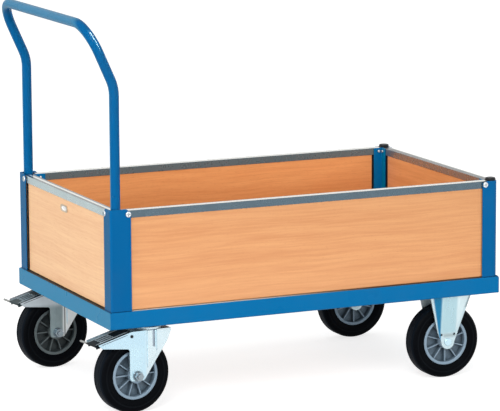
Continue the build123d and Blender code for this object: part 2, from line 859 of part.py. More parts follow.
shoe_angle = (shoe_back - swivel_trail) / (wheel_radius + shoe_gap)
shoe_height = wheel_radius + (wheel_radius + shoe_gap) * (1 - shoe_angle**2) ** 0.5
with BuildPart() as brake_pedal:
    with BuildSketch(tread_plane):
        with Locations((pedal_slope / 2, 0)):
            Rectangle(pedal_slope, pedal_width)
        with Locations((pedal_slope - pedal_slot_from_toe, 0)):
            with GridLocations(0, pedal_slot_pitch, 1, 3):
                SlotOverall(pedal_slot_length, pedal_slot_width, mode=Mode.SUBTRACT)
    extrude(amount=-pedal_gauge)
    with BuildSketch(tread_plane.offset(-pedal_gauge)):
        with Locations((pedal_slope / 2, 0)):
            with GridLocations(0, pedal_width - pedal_skirt_gauge, 1, 2):
                Rectangle(pedal_slope, pedal_skirt_gauge)
    extrude(amount=-pedal_skirt)
    with BuildSketch(Plane.XZ.offset(-pedal_width / 2)):
        with Locations((-pedal_pivot_back, pedal_pivot_height)):
            Circle(pedal_hub_radius)
        with BuildLine():
            Polyline(
                (-pedal_pivot_back - pedal_hub_radius, pedal_pivot_height),
                (-pedal_pivot_back + pedal_hub_radius, pedal_pivot_height),
                (-pedal_heel_back, pedal_heel_height - pedal_gauge),
                (-pedal_pivot_back - pedal_hub_radius, pedal_pivot_height + pedal_hub_radius),
                close=True,
            )
        make_face()
    extrude(amount=pedal_width)
    with BuildSketch(Plane.XZ.offset(-shoe_width / 2)):
        with BuildLine():
            Polyline(
                (-shoe_back - shoe_length / 2, shoe_height - shoe_length / 4),
                (-shoe_back + shoe_length / 2, shoe_height + shoe_length / 4),
                (-shoe_back + shoe_length / 2, tread_height(shoe_back - shoe_length / 2)),
                (-shoe_back - shoe_length / 2, tread_height(shoe_back + shoe_length / 2)),
                close=True,
            )
        make_face()
    extrude(amount=shoe_width)
    with BuildSketch(Plane.XZ.offset(pedal_width / 2)):
        with Locations((-pedal_toe_back, pedal_toe_height - toe_bar_radius)):
            Circle(toe_bar_radius)
    extrude(amount=-pedal_width / 2 - toe_bar_reach)
    with BuildSketch(Plane.XZ.offset(-pedal_width / 2)):
        with Locations((-pedal_pivot_back, pedal_pivot_height)):
            Circle(pedal_pin_radius + running_clearance)
    extrude(amount=pedal_width, mode=Mode.SUBTRACT)

# Fixed bracket: a top plate and two tapering legs with swept-back edges
waist_z = wheel_radius + bracket_waist_rise


def leg_section(half, flare, sweep, lean, splay):
    """Plan outline of a bracket leg: a flat face whose edges sweep back towards the wheel."""
    outer = -fork_outside - splay
    inner = outer + bracket_gauge
    return [
        (lean - half - flare, outer + sweep),
        (lean - half, outer),
        (lean + half, outer),
        (lean + half + flare, outer + sweep),
        (lean + half + flare, inner + sweep),
        (lean + half, inner),
        (lean - half, inner),
        (lean - half - flare, inner + sweep),
    ]


waist_section = leg_section(bracket_waist_half, bracket_waist_flare, bracket_waist_sweep, 0, 0)
top_section = leg_section(
    bracket_top_half, bracket_top_flare, bracket_top_sweep, bracket_top_lean, bracket_top_splay
)


with BuildPart() as fixed_bracket:
    for height, section in ((waist_z, waist_section), (caster_plate_bottom, top_section)):
        with BuildSketch(Plane.XY.offset(height)):
            with BuildLine():
                Polyline(*section, close=True)
            make_face()
    loft(ruled=True)
    with BuildSketch(Plane.XZ.offset(fork_inside)):
        with Locations((0, wheel_radius)):
            Circle(bracket_foot_radius)
        with BuildLine():
            Polyline(
                (-bracket_waist_half - bracket_waist_flare, waist_z),
                (bracket_waist_half + bracket_waist_flare, waist_z),
                (bracket_foot_radius, wheel_radius),
                (-bracket_foot_radius, wheel_radius),
                close=True,
            )
        make_face()
    extrude(amount=bracket_gauge)
    with BuildSketch(Plane.XZ.offset(fork_inside)):
        with Locations((0, wheel_radius)):
            Circle(axle_hole_radius)
        with Locations((0, wheel_radius + bracket_hole_rise)):
            with GridLocations(2 * bracket_hole_half_pitch, 0, 2, 1):
                Circle(bracket_hole_radius)
    extrude(amount=bracket_gauge, mode=Mode.SUBTRACT)
    mirror(about=Plane.XZ)
    add(caster_plate(fixed_plate_width, 1))

# Fixed axle, riveted over outside both legs
with BuildPart() as fixed_axle:
    with BuildSketch(Plane.XZ.offset(-fork_outside)):
        with Locations((0, wheel_radius)):
            Circle(axle_radius)
    extrude(amount=2 * fork_outside)
    for face_y in (fork_outside, -fork_outside - axle_rivet_height):
        with BuildSketch(Plane.XZ.offset(face_y)):
            with Locations((0, wheel_radius)):
                Circle(axle_rivet_radius)
        extrude(amount=axle_rivet_height)
    fillet(fixed_axle.faces().sort_by(Axis.Y)[0].edges(), axle_rivet_height / 2)
    fillet(fixed_axle.faces().sort_by(Axis.Y)[-1].edges(), axle_rivet_height / 2)

swivel_pieces = {
    "swivel_balls": swivel_balls,
    "king_pin": king_pin,
    "fork": fork,
    "pedal_pin": pedal_pin,
    "brake_pedal": brake_pedal,
}
for side_name, side in sides:
    save_moved(swivel_plate.part, f"swivel_plate_{side_name}", (swivel_x, side * caster_y(-1), 0))
    for piece_name, piece in swivel_pieces.items():
        save_moved(piece.part, f"{piece_name}_{side_name}", caster_place(-1, side))
    save_moved(axle_bolt.part, f"axle_bolt_{side_name}", wheel_place(-1, side))
    save_moved(fixed_bracket.part, f"fixed_bracket_{side_name}", caster_place(1, side))
    save_moved(fixed_axle.part, f"fixed_axle_{side_name}", caster_place(1, side))

# Caster bolts, heads on the beams and nuts under the plates
with BuildPart() as caster_bolt:
    with BuildSketch(Plane.XY.offset(beam_top)):
        RegularPolygon(caster_bolt_head_across / 2, 6, major_radius=False)
    extrude(amount=caster_bolt_head_height)
    with BuildSketch(Plane.XY.offset(beam_top)):
        Circle(caster_bolt_radius)
    extrude(amount=caster_plate_bottom - caster_nut_height - caster_bolt_tail - beam_top)

with BuildPart() as caster_nut:
    with BuildSketch(Plane.XY.offset(caster_plate_bottom)):
        RegularPolygon(caster_bolt_head_across / 2, 6, major_radius=False)
        Circle(caster_bolt_radius + thread_clearance, mode=Mode.SUBTRACT)
    extrude(amount=-caster_nut_height)

with BuildPart() as caster_fasteners:
    for _, end in ends:
        for _, side in sides:
            with Locations((caster_x(end), side * caster_y(end))):
                with GridLocations(*bolt_pitch(end), 2, 2):
                    add(caster_bolt.part)
                    add(caster_nut.part)
save(caster_fasteners.part, "caster_fasteners")
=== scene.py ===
import json
import math

import bmesh
import bpy
from mathutils import Matrix, Vector


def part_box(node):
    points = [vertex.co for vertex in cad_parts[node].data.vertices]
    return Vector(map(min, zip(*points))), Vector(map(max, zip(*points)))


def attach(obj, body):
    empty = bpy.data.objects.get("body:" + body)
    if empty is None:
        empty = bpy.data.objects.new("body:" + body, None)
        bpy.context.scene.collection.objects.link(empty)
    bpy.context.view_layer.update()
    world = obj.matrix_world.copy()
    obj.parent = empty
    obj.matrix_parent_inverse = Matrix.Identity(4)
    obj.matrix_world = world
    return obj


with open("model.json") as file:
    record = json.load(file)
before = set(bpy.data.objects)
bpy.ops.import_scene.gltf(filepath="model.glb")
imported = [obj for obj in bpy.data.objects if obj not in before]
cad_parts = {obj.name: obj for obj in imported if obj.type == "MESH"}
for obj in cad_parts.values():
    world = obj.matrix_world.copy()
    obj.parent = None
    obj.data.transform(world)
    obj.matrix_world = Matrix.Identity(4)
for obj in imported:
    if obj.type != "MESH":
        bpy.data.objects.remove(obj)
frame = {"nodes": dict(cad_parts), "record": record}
nodes = frame["nodes"]
jointByName = {joint["name"]: joint for joint in frame["record"]["behaviour"]["joints"]}
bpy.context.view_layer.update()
print("frame loaded:", len(nodes), "nodes")

ends = ("handle", "front")
sides = ("near", "far")
sideSign = dict(near=-1, far=1)
casterTurn = math.radians(6.0)  # the swivel casters stand turned by this much
casterAhead = Vector((math.cos(casterTurn), math.sin(casterTurn), 0.0))
casterAcross = Vector((-math.sin(casterTurn), math.cos(casterTurn), 0.0))
casterPost = {side: Vector(jointByName[f"caster_swivel_{side}"]["pos_m"]) for side in sides}


# node helpers

class Wire:  # a value in a node tree, which adds and multiplies like a number
    def __init__(self, tree, socket):
        self.tree, self.socket = tree, socket

    def __add__(self, other):
        return mathNode("ADD", self, other)

    __radd__ = __add__

    def __sub__(self, other):
        return mathNode("SUBTRACT", self, other)

    def __rsub__(self, other):
        return mathNode("SUBTRACT", other, self)

    def __mul__(self, other):
        return mathNode("MULTIPLY", self, other)

    def __truediv__(self, other):
        return mathNode("DIVIDE", self, other)


def wires(tree, sockets):
    return {socket.name: Wire(tree, socket) for socket in sockets}


def setSocket(socket, value):
    if isinstance(value, Wire):
        value.tree.links.new(value.socket, socket)
    else:
        socket.default_value = value


def setInputs(wire, values):
    for socket, value in zip(wire.socket.node.inputs, values):
        setSocket(socket, value)
    return wire


def addNode(tree, kind, settings=None, output=0, **inputs):
    node = tree.nodes.new(kind)
    for name, value in (settings or {}).items():
        setattr(node, name, value)
    for name, value in inputs.items():
        setSocket(node.inputs[name], value)
    return Wire(tree, node.outputs[output])


def mathNode(operation, a, b=0.0, clamp=False):
    tree = (a if isinstance(a, Wire) else b).tree
    return setInputs(addNode(tree, "ShaderNodeMath", dict(operation=operation, use_clamp=clamp)), (a, b))


def vectorNode(operation, a, b=(0.0, 0.0, 0.0)):
    output = "Value" if operation in ("DOT_PRODUCT", "LENGTH") else "Vector"
    return setInputs(addNode(a.tree, "ShaderNodeVectorMath", dict(operation=operation), output), (a, b))


def mix(factor, a, b):
    mixed = addNode(factor.tree, "ShaderNodeMix", dict(data_type="RGBA"), 2)
    for index, value in ((0, factor), (6, a), (7, b)):  # the sockets of a colour mix
        setSocket(mixed.socket.node.inputs[index], value)
    return mixed


def ramp(value, low, high, start=0.0, stop=1.0, kind="SMOOTHSTEP"):
    span = addNode(value.tree, "ShaderNodeMapRange", dict(interpolation_type=kind))
    return setInputs(span, (value, low, high, start, stop))


def edgeRamp(value, line, soft, start=0.0, stop=1.0):
    return ramp(value, line - soft, line + soft, start, stop)


def between(value, low, high, soft):
    return edgeRamp(value, low, soft) * edgeRamp(value, high, soft, 1.0, 0.0)


def noise(place, scale, detail=3.0, crumble=0.5):
    return addNode(place.tree, "ShaderNodeTexNoise", Vector=place, Scale=scale, Detail=detail,
                   Roughness=crumble)


def objectPlace(tree):
    return addNode(tree, "ShaderNodeTexCoord", output="Object")


def parts(vector):
    first = addNode(vector.tree, "ShaderNodeSeparateXYZ", Vector=vector)
    return wires(vector.tree, first.socket.node.outputs)


def placeParts(tree):
    return parts(objectPlace(tree))


def normalParts(tree):
    return parts(addNode(tree, "ShaderNodeNewGeometry", output="Normal"))


def newGroup(name, outputs, **inputs):
    group = bpy.data.node_groups.new(name, "ShaderNodeTree")
    for label in outputs:
        kind = dict(Color="Color", Normal="Vector").get(label, "Float")
        group.interface.new_socket(label, in_out="OUTPUT", socket_type="NodeSocket" + kind)
    for label, value in inputs.items():
        kind = "Float" if isinstance(value, float) else "Color" if len(value) == 4 else "Vector"
        socket = group.interface.new_socket(label, in_out="INPUT", socket_type="NodeSocket" + kind)
        socket.default_value = value
    return group, wires(group, group.nodes.new("NodeGroupInput").outputs)


def sendOut(group, **values):
    finish = group.nodes.new("NodeGroupOutput")
    for label, value in values.items():
        setSocket(finish.inputs[label], value)
    return group


# shared effects, whose noises are given as scale, detail and crumble

surfaceOutputs = ("Color", "Roughness", "Height")
rubbing = dict(samples=6, turned=(0.01, 0.22), chipped=(0.32, 0.62))


def makeEdgeGroup():
    group, start = newGroup("softEdge", ("Wear", "Normal"), Radius=0.001, Chips=60.0)
    rounded = addNode(group, "ShaderNodeBevel", dict(samples=rubbing["samples"]), Radius=start["Radius"])
    plain = addNode(group, "ShaderNodeNewGeometry", output="Normal")
    turned = ramp(1.0 - vectorNode("DOT_PRODUCT", rounded, plain), *rubbing["turned"])
    chips = ramp(noise(objectPlace(group), start["Chips"]), *rubbing["chipped"])
    return sendOut(group, Wear=turned * chips, Normal=rounded)


occlusionShade = dict(samples=6, clear=(0.3, 0.8, 1.0, 0.0), smudge=70.0, smudged=(0.1, 0.5, 0.6, 1.0))


# painted shade: darker where ambient occlusion finds surfaces close by, in crevices, pockets and between
# parts, made patchy by a noise
def makeCreviceGroup():
    group, start = newGroup("creviceDirt", ("Crevice",), Reach=0.006)
    clear = addNode(group, "ShaderNodeAmbientOcclusion", dict(samples=occlusionShade["samples"]), "AO",
                    Distance=start["Reach"])
    smudge = ramp(noise(objectPlace(group), occlusionShade["smudge"]), *occlusionShade["smudged"])
    return sendOut(group, Crevice=ramp(clear, *occlusionShade["clear"]) * smudge)


coating = dict(cloud=(6.0, 4.0), cloudRough=0.12, peel=(480.0, 2.0),
               speck=(150.0, 2.0), specked=(0.68, 0.78), speckRise=0.6, speckRough=0.1,
               dirt=(3.4, 6.0, 0.62), dirty=(0.5, 0.8))


def makePaintGroup():
    group, start = newGroup("powderCoat", surfaceOutputs, Color=(0.0, 0.1, 0.4, 1),
                            Dirt=(0.10, 0.11, 0.12, 1), Fade=0.12, Grime=0.08, Roughness=0.3)
    place = objectPlace(group)
    cloud = noise(place, *coating["cloud"])
    specks = ramp(noise(place, *coating["speck"]), *coating["specked"])
    lift = (cloud - 0.5) * start["Fade"] + 1.0
    varied = addNode(group, "ShaderNodeHueSaturation", Color=start["Color"], Value=lift)
    dirt = ramp(noise(place, *coating["dirt"]), *coating["dirty"]) * start["Grime"]
    rough = start["Roughness"] + cloud * coating["cloudRough"] + specks * coating["speckRough"]
    return sendOut(group, Color=mix(dirt, varied, start["Dirt"]), Roughness=rough,
                   Height=noise(place, *coating["peel"]) + specks * coating["speckRise"])


veneer = dict(
    drift=(2.6, 2.0), driftRise=0.02, rough=0.36, fibreRise=0.35,
    layers=dict(bands=dict(noise=(1.2, 3.0, 0.55), spread=(0.32, 0.68), share=0.34),
                streaks=dict(noise=(6.5, 3.0, 0.6), spread=(0.32, 0.68), share=0.46),
                fibres=dict(noise=(19.0, 3.0, 0.6), spread=(0.3, 0.7), share=0.2)),
    pores=dict(noise=(34.0, 2.0), squeeze=(3.0, 1.0, 1.0), spread=(0.60, 0.70), share=0.4, rough=0.3))


def makeBeechGroup():
    group, start = newGroup("beechVeneer", surfaceOutputs, Along=(1.0, 40.0, 40.0), Shift=(0.0, 0.0, 0.0),
                            Pale=(0.9, 0.6, 0.35, 1), Deep=(0.7, 0.36, 0.16, 1), Fleck=(0.4, 0.17, 0.07, 1))
    layers, pores = veneer["layers"], veneer["pores"]
    moved = vectorNode("ADD", objectPlace(group), start["Shift"])
    drift = addNode(group, "ShaderNodeCombineXYZ", Z=noise(moved, *veneer["drift"]) * veneer["driftRise"])
    grain = vectorNode("MULTIPLY", vectorNode("ADD", moved, drift), start["Along"])
    noises = {label: noise(grain, *layer["noise"]) for label, layer in layers.items()}
    tone = sum(ramp(noises[label], *layer["spread"]) * layer["share"] for label, layer in layers.items())
    dots = noise(vectorNode("MULTIPLY", grain, pores["squeeze"]), *pores["noise"])
    flecks = ramp(dots, *pores["spread"]) * pores["share"]
    wood = mix(tone, start["Deep"], start["Pale"])
    return sendOut(group, Color=mix(flecks, wood, start["Fleck"]),
                   Roughness=flecks * pores["rough"] + veneer["rough"],
                   Height=noises["fibres"] * veneer["fibreRise"] - flecks)


plating = dict(flake=90.0, flakeShare=0.6, cloud=(22.0, 4.0, 0.6), cloudy=(0.35, 0.75), cloudRise=0.5,
               line=(300.0, 2.0), lineRough=0.08, lineRise=0.3,
               streak=(130.0, 3.0, 0.6), streaky=(0.4, 0.7), dullRough=0.2)


def makePlatingGroup():
    group, start = newGroup("zincPlating", surfaceOutputs, Color=(0.7, 0.74, 0.77, 1),
                            Dull=(0.45, 0.5, 0.53, 1), Spangle=0.3, Roughness=0.25,
                            Draw=(1.0, 1.0, 1.0), Streaks=0.0)
    place = objectPlace(group)
    drawn = vectorNode("MULTIPLY", place, start["Draw"])
    flakes = addNode(group, "ShaderNodeTexVoronoi", output="Color", Vector=place, Scale=plating["flake"])
    flakeTone = addNode(group, "ShaderNodeSeparateColor", Color=flakes)
    cloud, lines, streaks = (noise(drawn, *plating[label]) for label in ("cloud", "line", "streak"))
    patchy = ramp(cloud, *plating["cloudy"]) + flakeTone * plating["flakeShare"]
    streaky = ramp(streaks, *plating["streaky"]) * start["Streaks"]
    dull = mathNode("ADD", patchy * start["Spangle"], streaky, clamp=True)
    rough = start["Roughness"] + dull * plating["dullRough"] + lines * plating["lineRough"]
    return sendOut(group, Color=mix(dull, start["Color"], start["Dull"]), Roughness=rough,
                   Height=cloud * plating["cloudRise"] + lines * plating["lineRise"])


moulding = dict(cloud=(18.0, 5.0, 0.6), dusty=(0.4, 0.75), cloudRough=0.16, grainDetail=2.0)


def makeMouldGroup():
    group, start = newGroup("mouldedSkin", surfaceOutputs, Color=(0.2, 0.2, 0.2, 1), Dust=(0.3, 0.3, 0.3, 1),
                            Dusting=0.15, Grain=600.0, Roughness=0.5)
    place = objectPlace(group)
    cloud = noise(place, *moulding["cloud"])
    dust = ramp(cloud, *moulding["dusty"]) * start["Dusting"]
    return sendOut(group, Color=mix(dust, start["Color"], start["Dust"]),
                   Roughness=start["Roughness"] + cloud * moulding["cloudRough"],
                   Height=noise(place, start["Grain"], moulding["grainDetail"]))


sidewall = dict(waves=62.0, crest=(0.35, 0.8), inner=(0.74, 0.76), outer=(0.86, 0.9, 1.0, 0.0),
                tread=(0.955, 0.99))


def makeRingGroup():
    group, start = newGroup("wheelRings", ("Rings", "Tread"), Centre=(0.0, 0.0, 0.0), Axle=(0.0, 1.0, 0.0),
                            Tread=0.09)
    arm = vectorNode("SUBTRACT", objectPlace(group), start["Centre"])
    along = vectorNode("DOT_PRODUCT", arm, start["Axle"])
    reach = mathNode("SQRT", vectorNode("DOT_PRODUCT", arm, arm) - along * along)
    share = reach / start["Tread"]
    wave = mathNode("SINE", share * sidewall["waves"])
    band = ramp(share, *sidewall["inner"]) * ramp(share, *sidewall["outer"])
    return sendOut(group, Rings=ramp(wave, *sidewall["crest"]) * band,
                   Tread=ramp(share, *sidewall["tread"]))


softEdge = makeEdgeGroup()
creviceDirt = makeCreviceGroup()
powderCoat = makePaintGroup()
beechVeneer = makeBeechGroup()
zincPlating = makePlatingGroup()
mouldedSkin = makeMouldGroup()
wheelRings = makeRingGroup()
print("effects made: softEdge, creviceDirt, powderCoat, beechVeneer, zincPlating, mouldedSkin, wheelRings")


# one finish: an effect, worn edges, painted crevice shade where given, and relief on a Principled shader

finishes = {}
plainChips = 60.0
zincEdge = dict(radius=0.0012, amount=0.45, color=(0.86, 0.90, 0.92, 1), chips=30.0)
smallEdge = dict(zincEdge, radius=0.0005)
zincCrevice = dict(reach=0.005, amount=0.75, color=(0.07, 0.09, 0.11, 1))
deepCrevice = dict(zincCrevice, reach=0.004, amount=0.9)


def placeGroup(tree, effect, **values):
    node = tree.nodes.new("ShaderNodeGroup")
    node.node_tree = effect
    node.name = effect.name
    for label, value in values.items():
        node.inputs[label].default_value = value
    return wires(tree, node.outputs)


def makeFinish(name, effect, values, relief, edge, shine, crevice=None):
    material = bpy.data.materials.new(name)
    material.use_nodes = True
    tree = material.node_tree
    surface = placeGroup(tree, effect, **values)
    rim = placeGroup(tree, softEdge, Radius=edge["radius"], Chips=edge.get("chips", plainChips))
    color = mix(rim["Wear"] * edge["amount"], surface["Color"], edge["color"])
    if crevice:
        # painted shade in the crevices
        dirt = placeGroup(tree, creviceDirt, Reach=crevice["reach"])
        color = mix(dirt["Crevice"] * crevice["amount"], color, crevice["color"])
    strength, distance = relief
    bump = addNode(tree, "ShaderNodeBump", Strength=strength, Distance=distance, Height=surface["Height"],
                   Normal=rim["Normal"])
    look = {"Base Color": color, "Roughness": surface["Roughness"], "Normal": bump, **shine}
    for label, value in look.items():
        setSocket(tree.nodes["Principled BSDF"].inputs[label], value)
    finishes[name] = material
    return material


def paintOver(material, mask, color):
    target = material.node_tree.nodes["Principled BSDF"].inputs["Base Color"]
    setSocket(target, mix(mask, Wire(mask.tree, target.links[0].from_socket), color))


def fromCaster(tree, side, direction):
    return vectorNode("DOT_PRODUCT", vectorNode("SUBTRACT", objectPlace(tree), casterPost[side]), direction)


# rubber and painted steel

tyre = dict(
    values=dict(Color=(0.0012, 0.0016, 0.0026, 1), Dust=(0.004, 0.006, 0.008, 1), Dusting=0.3,
                Grain=420.0, Roughness=0.4),
    relief=(0.25, 0.0004), gloss=0.04, edge=dict(radius=0.0012, amount=0.2, color=(0.02, 0.024, 0.03, 1)),
    zones=dict(Rings=dict(color=(0.02, 0.024, 0.03, 1), amount=0.18),
               Tread=dict(color=(0.005, 0.009, 0.015, 1), amount=0.6)))


def makeTyreFinish(name, centre, axle):
    material = makeFinish(name, mouldedSkin, tyre["values"], tyre["relief"], tyre["edge"],
                          {"Specular IOR Level": tyre["gloss"]})
    wheel = placeGroup(material.node_tree, wheelRings, Centre=centre, Axle=axle)
    # painted highlights: lighter rings on the sidewall and a bluish sheen on the tread
    for label, zone in tyre["zones"].items():
        paintOver(material, wheel[label] * zone["amount"], zone["color"])


# the far pedal's coat is a lighter, greener copy of the near one, as painted light; the light edges are wear
# and painted highlight
pedal = dict(near=(0.007, 0.011, 0.014, 1), far=(0.030, 0.048, 0.052, 1), rough=0.28, grime=0.2,
             relief=(0.3, 0.0005), shine={"Metallic": 0.06, "Specular IOR Level": 0.05},
             edge=dict(radius=0.0011, amount=0.9, color=(0.42, 0.46, 0.48, 1), chips=25.0),
             bar=(0.30, 0.31, 0.30, 1), tip=(0.55, 0.60, 0.62, 1), barStart=0.0215, soft=0.0005)


def makePedalFinish(name, side):
    values = dict(Color=pedal[side], Roughness=pedal["rough"], Grime=pedal["grime"])
    material = makeFinish(name, powderCoat, values, pedal["relief"], pedal["edge"], pedal["shine"])
    reach = fromCaster(material.node_tree, side, casterAcross)
    for label, sign in (("bar", 1.0), ("tip", -1.0)):  # the toe bar shows on both sides of the pedal, steel grey, lighter towards the near side as a painted highlight
        paintOver(material, edgeRamp(reach * sign, pedal["barStart"], pedal["soft"]), pedal[label])


paint = dict(
    rail=dict(long=(0.0010, 0.146, 0.374, 1), ends=(0.0010, 0.186, 0.362, 1), gloss=0.10),
    post=dict(long=(0.0006, 0.114, 0.318, 1), ends=(0.0006, 0.102, 0.248, 1), gloss=0.04),
    handle=dict(long=(0.0004, 0.098, 0.272, 1), ends=(0.034, 0.190, 0.345, 1), gloss=0.04),
    rough=0.22, relief=(0.10, 0.0003), sideways=(0.1, 0.35),
    edge=dict(radius=0.0018, amount=0.25, color=(0.04, 0.27, 0.58, 1)),
    crevice=dict(reach=0.006, amount=0.8, color=(0.002, 0.02, 0.06, 1)),
    shine={"Specular Tint": (0.3, 0.98, 1.0, 1), "Coat Weight": 0.07, "Coat Roughness": 0.06})


def makePaintFinish(name, label):
    look = paint[label]
    material = makeFinish(name, powderCoat, dict(Roughness=paint["rough"]), paint["relief"], paint["edge"],
                          {**paint["shine"], "Specular IOR Level": look["gloss"]}, paint["crevice"])
    tree = material.node_tree
    sideways = ramp(mathNode("ABSOLUTE", normalParts(tree)["Y"]), *paint["sideways"])
    aged = mix(sideways, look["ends"], look["long"])  # painted sheen and shade: faces turned towards the ends get another tone than the long sides
    setSocket(tree.nodes[powderCoat.name].inputs["Color"], aged)


for name, label in dict(railPaint="rail", weldPaint="rail", postPaint="post", handlePaint="handle").items():
    makePaintFinish(name, label)
for side in sides:
    for kind in ("swivel", "fixed"):
        spin = jointByName[f"{kind}_wheel_spin_{side}"]
        makeTyreFinish(f"{kind}Tyre{side.title()}", spin["pos_m"], spin["axis"])
    makePedalFinish(f"pedalCoat{side.title()}", side)


# sheet metal

# each edging has its own tone and metal share as painted light: pale on the handle end, darker on the long
# sides and the front
edging = dict(
    near=dict(sheet=(0.118, 0.170, 0.208, 1), metal=0.8, rubbed=(0.06, 0.90)),
    far=dict(sheet=(0.16, 0.235, 0.27, 1), metal=0.5, rubbed=(0.06, 0.90)),
    handle=dict(sheet=(0.54, 0.65, 0.66, 1), metal=0.8, rubbed=(0.36, 0.72)),
    front=dict(sheet=(0.36, 0.37, 0.38, 1), metal=0.8, rubbed=(-0.20, 0.25)),
    dulling=0.82, spangle=0.3, rough=0.2, relief=(0.06, 0.0002), upright=(0.6, 0.9), soft=0.05,
    top=(0.82, 0.82, 0.77, 1), fold=(0.09, 0.10, 0.10, 1), foldAmount=0.85)


def makeEdgingFinish(name, label):
    look = edging[label]
    dull = tuple(edging["dulling"] * part for part in look["sheet"][:3]) + (1,)
    values = dict(Color=look["sheet"], Dull=dull, Spangle=edging["spangle"], Roughness=edging["rough"])
    material = makeFinish(name, zincPlating, values, edging["relief"], zincEdge,
                          dict(Metallic=look["metal"]))
    tree = material.node_tree
    axis = 1 if label in sides else 0
    low, high = (corner[axis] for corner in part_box(f"edging_{label}"))
    outer, inner = (low, high) if label in ("near", "handle") else (high, low)
    share = (placeParts(tree)["XY"[axis]] - outer) / (inner - outer)
    top = ramp(normalParts(tree)["Z"], *edging["upright"])
    paintOver(material, top * edging["foldAmount"], edging["fold"])  # painted shade, dark along both folds
    rubbed = top * between(share, *look["rubbed"], edging["soft"])
    paintOver(material, rubbed, edging["top"])  # painted highlight along the middle of the top


bracket = dict(
    values=dict(Color=(0.66, 0.83, 0.89, 1), Dull=(0.34, 0.47, 0.51, 1), Spangle=0.12, Roughness=0.18,
                Draw=(0.5, 0.5, 0.03), Streaks=0.36),
    relief=(0.15, 0.0004), metal=0.6, wheelLine=0.251, turn=0.01, within=(0.75, 0.86, 0.90, 1),
    zones=dict(  # each lies between two slanted lines and two heights: band is a painted reflection of the blue rail, middle, crease and edge are painted shade, side is a painted highlight
        band=dict(left=(0.167, 0.3955), right=(0.0, 0.3826), low=0.0, high=0.25, soft=0.0022,
                  color=(0.009, 0.20, 0.40, 1), amount=1.0),
        middle=dict(left=(0.0, 0.3826), right=(0.0, 0.4225), low=0.112, high=0.25, soft=0.0045,
                    color=(0.45, 0.69, 0.77, 1), amount=0.8),
        crease=dict(left=(0.0, 0.389), right=(0.0, 0.423), low=0.102, high=0.111, soft=0.0040,
                    color=(0.27, 0.33, 0.34, 1), amount=0.6),
        side=dict(left=(0.0, 0.4235), right=(-0.41, 0.3740), low=0.112, high=0.25, soft=0.0040,
                  color=(0.79, 0.96, 1.0, 1), amount=0.8),
        edge=dict(left=(-0.41, 0.3750), right=(-0.41, 0.3900), low=0.172, high=0.25, soft=0.0025,
                  color=(0.20, 0.25, 0.27, 1), amount=0.7)))


def makeBracketFinish(name):
    material = makeFinish(name, zincPlating, bracket["values"], bracket["relief"], zincEdge, {}, zincCrevice)
    tree = material.node_tree
    place = placeParts(tree)
    reach = mathNode("ABSOLUTE", place["Y"]) - bracket["wheelLine"]
    away = normalParts(tree)["Y"] * mathNode("SIGN", place["Y"])
    outer = edgeRamp(away * reach, 0.0, bracket["turn"])  # the faces that look away from the wheel
    for zone in bracket["zones"].values():
        inside = outer * zone["amount"] * between(place["Z"], zone["low"], zone["high"], zone["soft"])
        for label, start, stop in (("left", 0.0, 1.0), ("right", 1.0, 0.0)):
            lean, line = zone[label]
            inside = inside * edgeRamp(place["X"] + place["Z"] * lean, line, zone["soft"], start, stop)
        paintOver(material, inside, zone["color"])
    paintOver(material, 1.0 - outer, bracket["within"])
    metal = tree.nodes["Principled BSDF"].inputs["Metallic"]
    setSocket(metal, outer * bracket["metal"])  # painted light: the faces between the legs are lighter and matt


# the far fork is a darker copy of the near one, as painted shade
fork = dict(
    near=dict(Color=(0.63, 0.87, 0.98, 1), Dull=(0.50, 0.70, 0.83, 1), Spangle=0.22, Roughness=0.2,
              Draw=(1.0, 1.0, 0.25), Streaks=0.03),
    far=dict(Color=(0.32, 0.41, 0.43, 1), Dull=(0.20, 0.26, 0.27, 1), Spangle=0.4, Roughness=0.24,
             Draw=(1.0, 1.0, 0.15), Streaks=0.2),
    relief=(0.05, 0.0004), metal=0.6,
    brow=dict(near=(0.57, 0.80, 0.93, 1), far=(0.70, 0.77, 0.82, 1), line=dict(near=0.158, far=0.158),
              soft=0.008, amount=0.75),
    behind=dict(near=(0.74, 0.88, 0.93, 1), far=(0.95, 1.0, 1.0, 1), line=dict(near=-0.022, far=-0.031),
                soft=0.004, amount=0.9),
    seam=dict(span=(-0.0270, -0.0242), soft=0.0006, color=(0.03, 0.04, 0.05, 1), amount=0.85),
    crown=dict(color=(0.016, 0.015, 0.028, 1), upright=(0.85, 0.98), amount=0.92))


def makeForkFinish(name, side):
    material = makeFinish(name, zincPlating, fork[side], fork["relief"], zincEdge,
                          dict(Metallic=fork["metal"]), zincCrevice)
    tree = material.node_tree
    ahead = fromCaster(tree, side, casterAhead)
    for label, place in (("brow", placeParts(tree)["Z"]), ("behind", ahead)):  # painted light and shade: own tones above the brow line and behind the rib
        zone = fork[label]
        paintOver(material, edgeRamp(place, zone["line"][side], zone["soft"]) * zone["amount"], zone[side])
    seam, crown = fork["seam"], fork["crown"]
    if side == "far":  # painted shadow: a dark line beside the rib
        paintOver(material, between(ahead, *seam["span"], seam["soft"]) * seam["amount"], seam["color"])
    top = ramp(normalParts(tree)["Z"], *crown["upright"])
    paintOver(material, top * crown["amount"], crown["color"])  # painted shade on the crown


screw = dict(
    values=dict(Color=(0.90, 0.94, 0.96, 1), Dull=(0.70, 0.75, 0.78, 1), Spangle=0.2, Roughness=0.2),
    relief=(0.1, 0.0002), metal=0.4, crevice=dict(zincCrevice, reach=0.003, amount=0.85),
    aged=(0.10, 0.20, 0.24, 1), agedAmount=0.7, turned=(-0.35, -0.9))


def makeScrewFinish(name):
    material = makeFinish(name, zincPlating, screw["values"], screw["relief"], smallEdge,
                          dict(Metallic=screw["metal"]), screw["crevice"])
    handleEnd = ramp(normalParts(material.node_tree)["X"], *screw["turned"])
    paintOver(material, handleEnd * screw["agedAmount"], screw["aged"])  # painted shade on the heads that face the handle end
